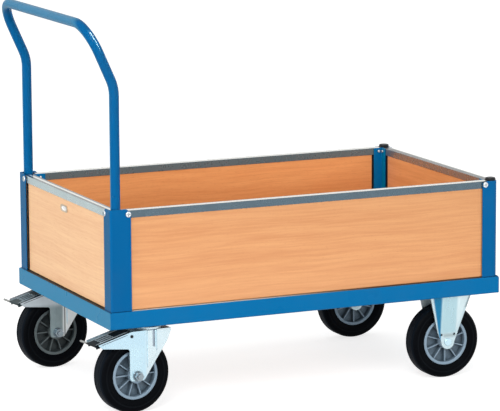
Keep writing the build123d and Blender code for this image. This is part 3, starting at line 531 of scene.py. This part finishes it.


platings = dict(
    brightZinc=dict(values=fork["near"], relief=(0.05, 0.0004), metal=0.6),
    # flankZinc is darker, as painted shade on the swell's flank
    flankZinc=dict(
        values=dict(Color=(0.42, 0.50, 0.58, 1), Dull=(0.24, 0.30, 0.36, 1), Spangle=0.3, Roughness=0.22),
        relief=(0.12, 0.0004), metal=0.9),
    shadedZinc=dict(
        values=dict(Color=(0.07, 0.06, 0.09, 1), Dull=(0.03, 0.03, 0.05, 1), Spangle=0.4, Roughness=0.25),
        relief=(0.15, 0.0004), metal=0.9, edge=dict(zincEdge, amount=0.7)),
    plainSteel=dict(
        values=dict(Color=(0.72, 0.74, 0.76, 1), Dull=(0.42, 0.44, 0.46, 1), Spangle=0.3, Roughness=0.16),
        relief=(0.1, 0.0002), metal=1.0, edge=smallEdge, crevice=deepCrevice),
    nutSteel=dict(
        values=dict(Color=(0.38, 0.46, 0.51, 1), Dull=(0.17, 0.21, 0.25, 1), Spangle=0.3, Roughness=0.14),
        relief=(0.06, 0.0002), metal=1.0, edge=smallEdge, crevice=deepCrevice),
    lipSteel=dict(
        values=dict(Color=(0.37, 0.45, 0.49, 1), Dull=(0.17, 0.22, 0.25, 1), Spangle=0.3, Roughness=0.2),
        relief=(0.1, 0.0002), metal=0.4, edge=smallEdge, crevice=None))
for name, look in platings.items():
    makeFinish(name, zincPlating, look["values"], look["relief"], look.get("edge", zincEdge),
               dict(Metallic=look["metal"]), look.get("crevice", zincCrevice))
makeBracketFinish("bracketZinc")
makeScrewFinish("screwZinc")
for side in sides:
    makeForkFinish(f"fork{side.title()}", side)
for label in (*sides, *ends):
    makeEdgingFinish(f"edging{label.title()}", label)


# beech-faced boards

alongX = (1.0, 30.0, 30.0)
alongY = (30.0, 1.0, 30.0)
beech = dict(Pale=(0.780, 0.382, 0.166, 1), Deep=(0.645, 0.266, 0.102, 1), Fleck=(0.55, 0.21, 0.08, 1))
# paleBeech is a paler copy for the end wall, as painted sheen; insideBeech a redder, more saturated copy for
# the inner faces, as painted bounce light
paleBeech = dict(Pale=(0.885, 0.545, 0.272, 1), Deep=(0.757, 0.400, 0.182, 1), Fleck=(0.57, 0.24, 0.09, 1))
insideBeech = dict(Pale=(0.86, 0.405, 0.158, 1), Deep=(0.71, 0.282, 0.096, 1), Fleck=(0.54, 0.20, 0.07, 1))
boards = dict(beechNear=dict(beech, Along=alongX),
              beechFar=dict(insideBeech, Along=alongX, Shift=(3.7, 0.4, 1.9)),
              beechEnd=dict(paleBeech, Along=alongY, Shift=(0.3, 1.3, 0.7)),
              beechFront=dict(insideBeech, Along=alongY, Shift=(1.9, 4.1, 2.6)),
              beechDeck=dict(beech, Along=alongX, Shift=(8.1, 2.2, 5.0)))
lacquer = dict(relief=(0.15, 0.0003), edge=dict(radius=0.0008, amount=0.4, color=(0.72, 0.42, 0.22, 1)),
               shine={"Coat Weight": 0.45, "Coat Roughness": 0.3, "Specular IOR Level": 0.3},
               crevice=dict(reach=0.006, amount=0.6, color=(0.16, 0.07, 0.03, 1)), nearDirt=0.15)
for name, values in boards.items():
    dirt = dict(lacquer["crevice"])
    if name == "beechNear":  # less painted crevice shade, so its foot stays light
        dirt["amount"] = lacquer["nearDirt"]
    makeFinish(name, beechVeneer, values, lacquer["relief"], lacquer["edge"], lacquer["shine"], dirt)

nearWallLight = dict(pale=(1.0, 0.533, 0.263, 1), deep=(0.427, 0.195, 0.071, 1), amount=0.25, middle=0.5,
              upright=0.65, lengthwise=0.35)


def paintNearWallLight():
    low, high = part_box("wall_near")
    place = placeParts(finishes["beechNear"].node_tree)
    down = (high.z - place["Z"]) / (high.z - low.z)
    back = (high.x - place["X"]) / (high.x - low.x)
    share = down * nearWallLight["upright"] + back * nearWallLight["lengthwise"]
    for label, stop in (("pale", 1.0), ("deep", 0.0)):  # painted light and shade: paler towards the foot and the handle end, deeper towards the top and the front
        mask = ramp(share, nearWallLight["middle"], stop, 0.0, nearWallLight["amount"], kind="LINEAR")
        paintOver(finishes["beechNear"], mask, nearWallLight[label])


paintNearWallLight()


# plastic, enamel, and dark strips of painted shade

mouldings = dict(
    badgeEnamel=dict(
        values=dict(Color=(0.93, 0.94, 0.93, 1), Dust=(0.80, 0.82, 0.82, 1), Dusting=0.2, Grain=900.0,
                    Roughness=0.25), relief=(0.05, 0.0002), gloss=0.5,
        edge=dict(radius=0.0005, amount=0.5, color=(0.55, 0.56, 0.56, 1))),
    rimDim=dict(
        values=dict(Color=(0.10, 0.125, 0.13, 1), Dust=(0.15, 0.17, 0.17, 1), Dusting=0.35, Grain=700.0,
                    Roughness=0.38), relief=(0.15, 0.0003), gloss=0.4,
        edge=dict(radius=0.0009, amount=0.6, color=(0.24, 0.26, 0.26, 1)),
        crevice=dict(reach=0.024, amount=0.85, color=(0.012, 0.018, 0.02, 1))),
    rimPlastic=dict(
        values=dict(Color=(0.228, 0.320, 0.405, 1), Dust=(0.30, 0.39, 0.47, 1), Dusting=0.35, Grain=700.0,
                    Roughness=0.34), relief=(0.15, 0.0003), gloss=0.5,
        edge=dict(radius=0.0009, amount=0.6, color=(0.52, 0.60, 0.66, 1)),
        crevice=dict(reach=0.024, amount=0.8, color=(0.035, 0.055, 0.075, 1))),
    blackPlastic=dict(
        values=dict(Color=(0.006, 0.007, 0.009, 1), Dust=(0.02, 0.02, 0.024, 1), Dusting=0.2, Grain=800.0,
                    Roughness=0.35), relief=(0.2, 0.0003), gloss=0.3,
        edge=dict(radius=0.0006, amount=0.3, color=(0.05, 0.05, 0.055, 1))),
    gapSeal=dict(
        values=dict(Color=(0.006, 0.006, 0.009, 1), Dust=(0.03, 0.028, 0.026, 1), Dusting=0.25, Grain=500.0,
                    Roughness=0.6), relief=(0.3, 0.0003), gloss=0.15,
        edge=dict(radius=0.0004, amount=0.2, color=(0.06, 0.055, 0.05, 1))),
    jointSeal=dict(
        values=dict(Color=(0.035, 0.026, 0.020, 1), Dust=(0.10, 0.08, 0.06, 1), Dusting=0.35, Grain=500.0,
                    Roughness=0.55), relief=(0.3, 0.0003), gloss=0.2,
        edge=dict(radius=0.0004, amount=0.3, color=(0.14, 0.11, 0.08, 1))),
    nearSeal=dict(
        values=dict(Color=(0.075, 0.055, 0.042, 1), Dust=(0.14, 0.11, 0.08, 1), Dusting=0.35, Grain=500.0,
                    Roughness=0.55), relief=(0.3, 0.0003), gloss=0.2,
        edge=dict(radius=0.0004, amount=0.3, color=(0.18, 0.14, 0.10, 1))))
for name, look in mouldings.items():
    makeFinish(name, mouldedSkin, look["values"], look["relief"], look["edge"],
               {"Specular IOR Level": look["gloss"]}, look.get("crevice"))

finishByNode = dict(deck_board="beechDeck", wall_near="beechNear", wall_far="beechFar",
                    wall_handle="beechEnd", wall_front="beechFront", push_handle="handlePaint",
                    tube_caps="blackPlastic", wall_fasteners="screwZinc", caster_fasteners="plainSteel",
                    swivel_rim_far="rimDim")  # a darker, greyer copy of the rim plastic, as painted shade
finishByStem = dict(swivel_plate="shadedZinc", fixed_bracket="bracketZinc", fixed_axle="brightZinc",
                    king_pin="plainSteel", swivel_balls="plainSteel", axle_bolt="nutSteel",
                    pedal_pin="blackPlastic", swivel_rim="rimPlastic", fixed_rim="rimPlastic",
                    swivel_roller_cage="blackPlastic", fixed_roller_cage="blackPlastic")
finishBySide = dict(swivel_tyre="swivelTyre", fixed_tyre="fixedTyre", edging="edging", fork="fork",
                    brake_pedal="pedalCoat")


def finishFor(name):
    stem, _, last = name.rpartition("_")
    if stem in finishBySide:
        return finishBySide[stem] + last.title()
    if name.startswith(("post_", "front_tube_")):
        return "postPaint"
    return finishByNode.get(name) or finishByStem.get(stem) or "railPaint"


for name, piece in nodes.items():
    piece.data.materials.clear()
    piece.data.materials.append(finishes[finishFor(name)])
print("finishes given to", len(nodes), "nodes")


# mesh helpers

def addRing(shape, centre, sideA, sideB, radius, count):
    ring = []
    for k in range(count):
        turn = 2 * math.pi * k / count
        ring.append(shape.verts.new(centre + radius * (math.cos(turn) * sideA + math.sin(turn) * sideB)))
    return ring


def skinRings(shape, rings, closed=False):
    pairs = list(zip(rings, rings[1:])) + ([(rings[-1], rings[0])] if closed else [])
    for first, second in pairs:
        for k in range(len(first)):
            shape.faces.new((first[k - 1], first[k], second[k], second[k - 1]))
    if not closed:
        shape.faces.new(rings[0])
        shape.faces.new(rings[-1])


def addUpright(shape, corners, heights):
    skinRings(shape, [[shape.verts.new((x, y, z)) for x, y in corners] for z in heights])


def addRod(shape, points, radii, upward, closed=False, count=10):
    rings = []
    for k, point in enumerate(points):
        ahead = points[(k + 1) % len(points)] if closed or k + 1 < len(points) else point
        behind = points[k - 1] if closed or k else point
        sideA = (ahead - behind).cross(upward).normalized()
        rings.append(addRing(shape, point, sideA, upward.normalized(), radii[k], count))
    skinRings(shape, rings, closed)


bead = dict(fewestSteps=6, stepsPerPitch=4, tip=0.35, taper=6.0)


def addBead(shape, start, stop, radius, upward, ripple=0.0, pitch=0.004):
    steps = max(bead["fewestSteps"], int((stop - start).length / pitch) * bead["stepsPerPitch"])
    points, radii = [], []
    for k in range(steps + 1):
        share = k / steps
        fade = min(1.0, bead["tip"] + bead["taper"] * min(share, 1.0 - share))  # the ends taper off
        points.append(start.lerp(stop, share))
        radii.append(radius * fade * (1.0 + ripple * math.sin(math.pi * k / 2)))
    addRod(shape, points, radii, upward)


recess = dict(depth=0.8, reach=0.75)  # shares of the head's height and radius


def addDome(shape, centre, axis, radius, height, cross=0.0, rings=7, count=24):
    axis = axis.normalized()
    sideA = axis.orthogonal().normalized()
    sideB = axis.cross(sideA)
    layers = []
    for k in range(rings):
        lean = (math.pi / 2) * k / (rings - 0.5)
        middle = centre + axis * (height * math.sin(lean))
        layers.append(addRing(shape, middle, sideA, sideB, radius * math.cos(lean), count))
        for vert in layers[-1] if cross else ():
            arm = vert.co - centre
            inSlot = min(abs(arm.dot(sideA)), abs(arm.dot(sideB))) < cross
            if inSlot and (arm - arm.dot(axis) * axis).length < radius * recess["reach"]:
                vert.co -= axis * (height * recess["depth"])  # the drive recess
    skinRings(shape, layers)


def makePiece(name, shape, finish, body):
    bmesh.ops.recalc_face_normals(shape, faces=shape.faces)
    mesh = bpy.data.meshes.new(name)
    shape.to_mesh(mesh)
    shape.free()
    for face in mesh.polygons:
        face.use_smooth = True
    mesh.materials.append(finishes[finish])
    piece = bpy.data.objects.new(name, mesh)
    bpy.context.scene.collection.objects.link(piece)
    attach(piece, body)


# detail pieces

badge = dict(y=0.007, z=0.438, width=0.046, height=0.0165, thickness=0.0012, corner=0.0082, cornerSteps=6,
             border=0.0012, section=((0.0, 0.0), (0.8, 0.0), (1.0, 0.3), (1.0, 0.8), (0.6, 1.0)), field=0.6,
             rim=(0.50, 0.41, 0.30, 1), rimSpan=(0.50, 0.80),
             pinOffset=0.017, pinRadius=0.0013, pinHeight=0.0008)


def makeBadge():
    enamel = finishes["badgeEnamel"]
    arm = vectorNode("SUBTRACT", objectPlace(enamel.node_tree), (0.0, badge["y"], badge["z"]))
    arm = vectorNode("MULTIPLY", arm, (0.0, 2 / badge["width"], 2 / badge["height"]))
    paintOver(enamel, ramp(vectorNode("LENGTH", arm), *badge["rimSpan"]), badge["rim"])
    shape = bmesh.new()
    middle = Vector((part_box("wall_handle")[0].x, badge["y"], badge["z"]))
    corner, steps = badge["corner"], badge["cornerSteps"]
    halfY, halfZ = badge["width"] / 2 - corner, badge["height"] / 2 - corner
    outline = []
    for quarter, (signY, signZ) in enumerate(((1, 1), (-1, 1), (-1, -1), (1, -1))):
        for k in range(steps + 1):
            turn = math.radians(90 * (quarter + k / steps))
            y, z = corner * math.cos(turn), corner * math.sin(turn)
            outline.append((signY * halfY + y, signZ * halfZ + z))
    layers = []
    for depth, inset in badge["section"]:  # wall, rounded rim, then the sunk blank field
        shrinkY, shrinkZ = (1 - 2 * inset * badge["border"] / badge[label] for label in ("width", "height"))
        places = (Vector((-depth * badge["thickness"], y * shrinkY, z * shrinkZ)) for y, z in outline)
        layers.append([shape.verts.new(middle + place) for place in places])
    skinRings(shape, layers)
    for sign in (-1, 1):
        place = middle + Vector((-badge["field"] * badge["thickness"], sign * badge["pinOffset"], 0))
        addDome(shape, place, Vector((-1, 0, 0)), badge["pinRadius"], badge["pinHeight"])
    makePiece("badge_plate", shape, "badgeEnamel", "trolley")


rivet = dict(x=-0.4631, y=0.2960, z=0.512, lean=(-0.752, 0.66), radius=0.0026, height=0.0013, sink=0.0004)


def makeHandleRivets():
    for side, sign in sideSign.items():
        shape = bmesh.new()
        axis = Vector((rivet["lean"][0], sign * rivet["lean"][1], 0))
        place = Vector((rivet["x"], sign * rivet["y"], rivet["z"])) - axis * rivet["sink"]
        addDome(shape, place, axis, rivet["radius"], rivet["height"])
        makePiece(f"handle_rivet_{side}", shape, "handlePaint", "trolley")


weld = dict(shade=(0.0006, 0.040, 0.120, 1), radius=0.0013, ripple=0.14, lift=0.0002, seamRadius=0.0008,
            seamRipple=0.05, seamSink=0.0004, seamOut=0.0004, seamStart=0.001, seamRun=0.028)


def makeWelds():
    upright, lengthwise = Vector((0, 0, 1)), Vector((1, 0, 0))
    coat = finishes["weldPaint"]
    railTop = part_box("side_rail_near")[1].z
    joint = ramp(placeParts(coat.node_tree)["Z"], railTop - weld["radius"], railTop)
    paintOver(coat, joint, weld["shade"])  # painted shade in the joint under the posts
    for outer, end in enumerate(ends):
        for outerSide, side in enumerate(sides):
            shape = bmesh.new()
            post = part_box(f"post_{end}_{side}")
            outerX, innerX = post[outer].x, post[1 - outer].x
            outerY, innerY = post[outerSide].y, post[1 - outerSide].y
            foot = post[0].z + weld["lift"]
            corner = Vector((outerX, outerY, foot))
            for stop in (Vector((innerX, outerY, foot)), Vector((outerX, innerY, foot))):
                addBead(shape, corner, stop, weld["radius"], upright, weld["ripple"])
            low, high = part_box(f"end_rail_{end}")
            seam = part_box(f"side_rail_{side}")[outer].x + (weld["seamOut"] if outer else -weld["seamOut"])
            outside = sideSign[side] * (high.y - weld["seamSink"])
            bottom = Vector((seam, outside, low.z + weld["seamStart"]))
            top = Vector((seam, outside, high.z - weld["seamSink"]))
            inward = Vector((0, -sideSign[side] * weld["seamRun"], 0))
            addBead(shape, bottom, top, weld["seamRadius"], lengthwise, weld["seamRipple"])
            addBead(shape, top, top + inward, weld["seamRadius"], upright, weld["seamRipple"])
            makePiece(f"weld_{end}_{side}", shape, "weldPaint", "trolley")


deckScrew = dict(rowsX=(-0.368, -0.095, 0.145, 0.4015), rowsY=(-0.245, -0.085, 0.085, 0.245), sink=0.0002,
                 head=dict(radius=0.0048, height=0.0007, cross=0.0007))


def makeDeckScrews():
    shape = bmesh.new()
    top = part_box("deck_board")[1].z - deckScrew["sink"]
    for x in deckScrew["rowsX"]:
        for y in deckScrew["rowsY"]:
            addDome(shape, Vector((x, y, top)), Vector((0, 0, 1)), **deckScrew["head"])
    makePiece("deck_screws", shape, "plainSteel", "trolley")


# dark strips on the frame along the walls' feet, as painted shadow gaps
footShadeStrip = dict(sideEdge=0.0042, endEdge=0.0015, under=0.005, thickness=0.0008, postGap=0.0135,
                pale=(0.50, 0.47, 0.42, 1), paleSpan=(-0.16, 0.22, 1.0, 0.0))


def addStrip(shape, low, high, rise):
    corners = ((low.x, low.y), (high.x, low.y), (high.x, high.y), (low.x, high.y))
    lowEdge = [shape.verts.new((x, y, low.z)) for x, y in corners]
    centre = (low + high) / 2
    crown = []
    for vert in lowEdge:  # the top edge is drawn in a little
        pull = [math.copysign(min(abs(away), rise), away) for away in (centre - vert.co)[:2]]
        crown.append(shape.verts.new(vert.co + Vector((*pull, rise))))
    skinRings(shape, [lowEdge, crown])


def makeFootShadeStrips():
    footShadeFinish = finishes["nearSeal"]  # painted shade, paler at the handle end
    paintOver(footShadeFinish, ramp(placeParts(footShadeFinish.node_tree)["X"], *footShadeStrip["paleSpan"]), footShadeStrip["pale"])
    for label in (*sides, *ends):
        shape = bmesh.new()
        low, high = (corner.copy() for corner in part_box(f"wall_{label}"))
        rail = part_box(f"side_rail_{label}" if label in sides else f"end_rail_{label}")
        axis = 1 if label in sides else 0
        edge = footShadeStrip["sideEdge" if label in sides else "endEdge"]
        if label in ("near", "handle"):
            high[axis] = low[axis] + footShadeStrip["under"]
            low[axis] = rail[0][axis] + edge
        else:
            low[axis] = high[axis] - footShadeStrip["under"]
            high[axis] = rail[1][axis] - edge
        low[1 - axis] += footShadeStrip["postGap"]
        high[1 - axis] -= footShadeStrip["postGap"]
        low.z = rail[1].z
        addStrip(shape, low, high, footShadeStrip["thickness"])
        finish = "nearSeal" if label == "near" else "jointSeal"
        makePiece(f"foot_shade_strip_{label}", shape, finish, "trolley")


sideShadeStrip = dict(width=0.009, proud=0.0006, sink=0.0002, above=0.004,  # dark strips beside the posts as painted shadow gaps; flat, with one rounded edge
                section=((0.0, 0.0), (0.0, 1.0), (0.8, 1.0), (1.0, 0.6), (1.0, 0.0)))


def makeSideShadeStrips():
    for outer, end in enumerate(ends):
        shape = bmesh.new()
        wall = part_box(f"wall_{end}")
        heights = (wall[0].z + sideShadeStrip["above"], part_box(f"edging_{end}")[0].z)
        for outerSide, side in enumerate(sides):
            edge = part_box(f"post_{end}_{side}")[1 - outerSide].y
            corners = []
            for across, depth in sideShadeStrip["section"]:
                out = depth * sideShadeStrip["proud"] - sideShadeStrip["sink"]
                x = wall[outer].x + (out if outer else -out)
                corners.append((x, edge - sideSign[side] * across * sideShadeStrip["width"]))
            addUpright(shape, corners, heights)
        makePiece(f"side_shade_strip_{end}", shape, "gapSeal", "trolley")


# dark strips where the clamp angles meet the walls, as painted shadow gaps
innerShadeStrip = dict(longWidth=0.005, endWidth=0.008, behind=0.002, proud=0.0008, sink=0.0002, above=0.002,
                 flat=0.8, lip=0.5)


def makeInnerShadeStrips():
    proud, sink, behind = innerShadeStrip["proud"], innerShadeStrip["sink"], innerShadeStrip["behind"]
    for end in ends:
        for side in sides:
            shape = bmesh.new()
            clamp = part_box(f"clamp_angle_{end}_{side}")
            for label, axis in ((side, 1), (end, 0)):  # one strip on the long wall, one on the end wall
                low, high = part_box(f"wall_{label}")
                face, inward = (high[axis], 1) if label in ("near", "handle") else (low[axis], -1)
                away = 1 if (end == "handle" if axis else side == "near") else -1  # to the wall's middle
                edge = clamp[1 if away > 0 else 0][1 - axis]
                width = innerShadeStrip["longWidth" if axis else "endWidth"]
                corners = []
                for across, depth in ((-behind, -sink), (-behind, proud), (width * innerShadeStrip["flat"], proud),
                                      (width, proud * innerShadeStrip["lip"]), (width, -sink)):
                    point = (edge + away * across, face + inward * depth)
                    corners.append(point if axis else point[::-1])
                addUpright(shape, corners, (low.z + innerShadeStrip["above"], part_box(f"edging_{label}")[0].z))
            makePiece(f"inner_shade_strip_{end}_{side}", shape, "gapSeal", "trolley")


tread = dict(heel=(-0.058, 0.1952), toe=(-0.147, 0.171), slotFromToe=0.034, slotPitch=0.012,
             slotLength=0.034, slotWidth=0.0075, slotSteps=8, lipRadius=0.0007, lipOut=0.0004,
             stripAcross=0.0194, stripRadius=0.0013, stripStart=0.004, stripStop=0.002, stripPitch=0.02)


def casterPoint(side, ahead, out, z):
    return Vector((*casterPost[side].xy, z)) + ahead * casterAhead + out * casterAcross


def makePedalTreads():
    half = (tread["slotLength"] - tread["slotWidth"]) / 2
    bend = tread["slotWidth"] / 2 + tread["lipOut"]
    for side in sides:
        shape = bmesh.new()
        heel, toe = (casterPoint(side, ahead, 0.0, z) for ahead, z in (tread["heel"], tread["toe"]))
        down = (toe - heel).normalized()
        plateUp = casterAcross.cross(down).normalized()
        for k in (-1, 0, 1):
            middle = toe - tread["slotFromToe"] * down + k * tread["slotPitch"] * casterAcross
            path = []
            for sign in (1, -1):
                for step in range(tread["slotSteps"] + 1):
                    turn = math.pi * (step / tread["slotSteps"] - 0.5)
                    along, across = half + bend * math.cos(turn), bend * math.sin(turn)
                    path.append(middle + sign * along * down + sign * across * casterAcross)
            addRod(shape, path, [tread["lipRadius"]] * len(path), plateUp, closed=True)
        for sign in (-1, 1):
            offset = sign * tread["stripAcross"] * casterAcross
            start = heel + tread["stripStart"] * down + offset
            stop = toe - tread["stripStop"] * down + offset
            addBead(shape, start, stop, tread["stripRadius"], plateUp, pitch=tread["stripPitch"])
        makePiece(f"pedal_tread_{side}", shape, "lipSteel", f"pedal_{side}")


pressing = dict(
    outside=0.0325, pitch=0.01,
    beads=dict(
        fold=dict(line=((-0.068, 0.1895), (-0.140, 0.1710)), radius=0.0007, proud=0.0, finish="shadedZinc"),
        rib=dict(line=((-0.0195, 0.1945), (-0.0195, 0.108)), radius=0.0011, proud=0.00048,
                 finish="brightZinc")),
    swell=dict(ahead=-0.0005, top=0.1948, bottom=0.146, fade=0.012, steps=14),
    flank=((-0.0066, 0.0013), (-0.0056, 0.0018), (-0.0030, 0.0021), (0.0002, 0.0023), (0.0002, -0.0006),
           (-0.0066, -0.0006)),
    crest=((0.0002, 0.0024), (0.0014, 0.0028), (0.0026, 0.0028), (0.0042, 0.0024), (0.0058, 0.0014),
           (0.0068, 0.0003), (0.0068, -0.0006), (0.0002, -0.0006)))


def addSwell(shape, side, sign, section):
    swell = pressing["swell"]
    rings = []
    for k in range(swell["steps"] + 1):
        z = swell["top"] + (swell["bottom"] - swell["top"]) * k / swell["steps"]
        rise = min(1.0, (z - swell["bottom"]) / swell["fade"])  # the swell runs out at its foot
        ring = []
        for ahead, height in section:
            out = pressing["outside"] + (height * rise if height > 0 else height)
            ring.append(shape.verts.new(casterPoint(side, swell["ahead"] + ahead, sign * out, z)))
        rings.append(ring)
    skinRings(shape, rings)


def makeForkPressings():
    for side in sides:
        for kind, look in pressing["beads"].items():
            shape = bmesh.new()
            for sign in (-1, 1):
                out = sign * (pressing["outside"] + look["proud"])
                start, stop = (casterPoint(side, ahead, out, z) for ahead, z in look["line"])
                addBead(shape, start, stop, look["radius"], casterAcross, pitch=pressing["pitch"])
            makePiece(f"fork_{kind}_{side}", shape, look["finish"], f"swivel_{side}")
        for kind, finish in (("flank", "flankZinc"), ("crest", "brightZinc")):
            shape = bmesh.new()
            for sign in (-1, 1):
                addSwell(shape, side, sign, pressing[kind])
            makePiece(f"fork_{kind}_{side}", shape, finish, f"swivel_{side}")


makeBadge()
makeHandleRivets()
makeWelds()
makeDeckScrews()
makeFootShadeStrips()
makeSideShadeStrips()
makeInnerShadeStrips()
makePedalTreads()
makeForkPressings()


# floor, light and camera

studio = dict(
    floorSize=60.0, floorColor=(0.6, 0.6, 0.6, 1), floorGlow=0.72, mirrorGlow=0.36,
    white=(1, 1, 1, 1), backdrop=1.0, aim=(0.0, 0.0, 0.4),
    skyTowards=(-0.45, 0.65, 0.6), skyTurn=(-0.7, 0.7), skyLevels=(0.16, 0.7),
    lamps=dict(
        keyLamp=dict(place=(-3.6, -5.6, 5.0), size=(3.2, 3.2), power=280.0),
        frontLamp=dict(place=(0.8, -6.6, 1.5), size=(5.0, 1.2), power=174.0, mirrored=False),
        leftLamp=dict(place=(-6.2, -0.8, 0.7), size=(3.0, 1.2), power=126.0, mirrored=False),
        rightStrip=dict(place=(5.2, 0.9, 1.0), size=(0.5, 1.8), power=30.0),
        glintPanel=dict(place=(1.95, -3.25, 4.1), size=(2.2, 5.2), power=4200.0, spread=False,
                        only=("push_handle",))))  # shows only as the streak on the handle


def lightPath(tree):
    return wires(tree, tree.nodes.new("ShaderNodeLightPath").outputs)


def makeFloor():
    mesh = bpy.data.meshes.new("studioFloor")
    half = studio["floorSize"] / 2
    corners = [(-half, -half, 0), (half, -half, 0), (half, half, 0), (-half, half, 0)]
    mesh.from_pydata(corners, [], [(0, 1, 2, 3)])
    floor = bpy.data.objects.new("studioFloor", mesh)
    bpy.context.scene.collection.objects.link(floor)
    material = bpy.data.materials.new("paleSweep")
    material.use_nodes = True
    tree = material.node_tree
    tree.nodes.remove(tree.nodes["Principled BSDF"])
    path = lightPath(tree)
    mirrored = mathNode("ADD", path["Is Glossy Ray"], path["Is Transmission Ray"], clamp=True)
    level = path["Is Camera Ray"] * studio["floorGlow"] + mirrored * studio["mirrorGlow"]
    diffuse = addNode(tree, "ShaderNodeBsdfDiffuse", Color=studio["floorColor"])
    glow = addNode(tree, "ShaderNodeEmission", Color=studio["white"], Strength=level)
    both = setInputs(addNode(tree, "ShaderNodeAddShader"), (diffuse, glow))
    setSocket(tree.nodes["Material Output"].inputs["Surface"], both)
    mesh.materials.append(material)


def makeSky():
    world = bpy.data.worlds.new("studioSky")
    bpy.context.scene.world = world
    world.use_nodes = True
    tree = world.node_tree
    ray = addNode(tree, "ShaderNodeTexCoord", output="Generated")
    towards = vectorNode("DOT_PRODUCT", ray, Vector(studio["skyTowards"]).normalized())
    soft = ramp(towards, *studio["skyTurn"], *studio["skyLevels"])
    path = lightPath(tree)
    seen = mathNode("ADD", path["Is Camera Ray"], path["Is Glossy Ray"], clamp=True)
    seen = mathNode("ADD", seen, path["Is Transmission Ray"], clamp=True)
    strength = soft + (studio["backdrop"] - soft) * seen  # white where it is seen or mirrored
    background = tree.nodes["Background"]
    setSocket(background.inputs["Color"], studio["white"])
    setSocket(background.inputs["Strength"], strength)


def makeLamp(name, place, size, power, mirrored=True, spread=True, only=()):
    lamp = bpy.data.lights.new(name, "AREA")
    lamp.shape = "RECTANGLE"
    lamp.size, lamp.size_y = size
    lamp.energy = power
    holder = bpy.data.objects.new(name, lamp)
    holder.location = place
    holder.visible_glossy = mirrored
    holder.visible_diffuse = spread
    if only:
        receivers = bpy.data.collections.new(f"{name}Receivers")
        for node in only:
            receivers.objects.link(nodes[node])
        holder.light_linking.receiver_collection = receivers
    holder.rotation_euler = (Vector(studio["aim"]) - Vector(place)).to_track_quat("-Z", "Y").to_euler()
    bpy.context.scene.collection.objects.link(holder)


viewpoint = dict(place=(-3.050296, -6.863325, 1.734704), yaw=65.9815, pitch=-10.0048, roll=-0.3178,
                 lens=226.862, sensor=36.0, farthest=200.0)


def makeCamera():
    yaw, pitch, roll = (math.radians(viewpoint[label]) for label in ("yaw", "pitch", "roll"))
    ahead = Vector((math.cos(yaw) * math.cos(pitch), math.sin(yaw) * math.cos(pitch), math.sin(pitch)))
    right = Vector((math.sin(yaw), -math.cos(yaw), 0.0))
    above = right.cross(ahead)
    rightRolled = math.cos(roll) * right + math.sin(roll) * above
    aboveRolled = -math.sin(roll) * right + math.cos(roll) * above
    turn = Matrix((rightRolled, aboveRolled, -ahead)).transposed()
    data = bpy.data.cameras.new("photoView")
    data.lens = viewpoint["lens"]
    data.sensor_fit = "HORIZONTAL"
    data.sensor_width = viewpoint["sensor"]
    data.clip_end = viewpoint["farthest"]
    camera = bpy.data.objects.new("photoView", data)
    camera.matrix_world = Matrix.Translation(viewpoint["place"]) @ turn.to_4x4()
    bpy.context.scene.collection.objects.link(camera)
    bpy.context.scene.camera = camera


makeFloor()
makeSky()
for name, lamp in studio["lamps"].items():
    makeLamp(name, **lamp)
makeCamera()
bpy.context.scene.view_settings.view_transform = "Standard"
print("studio set: floor, sky,", len(studio["lamps"]), "lamps, camera")
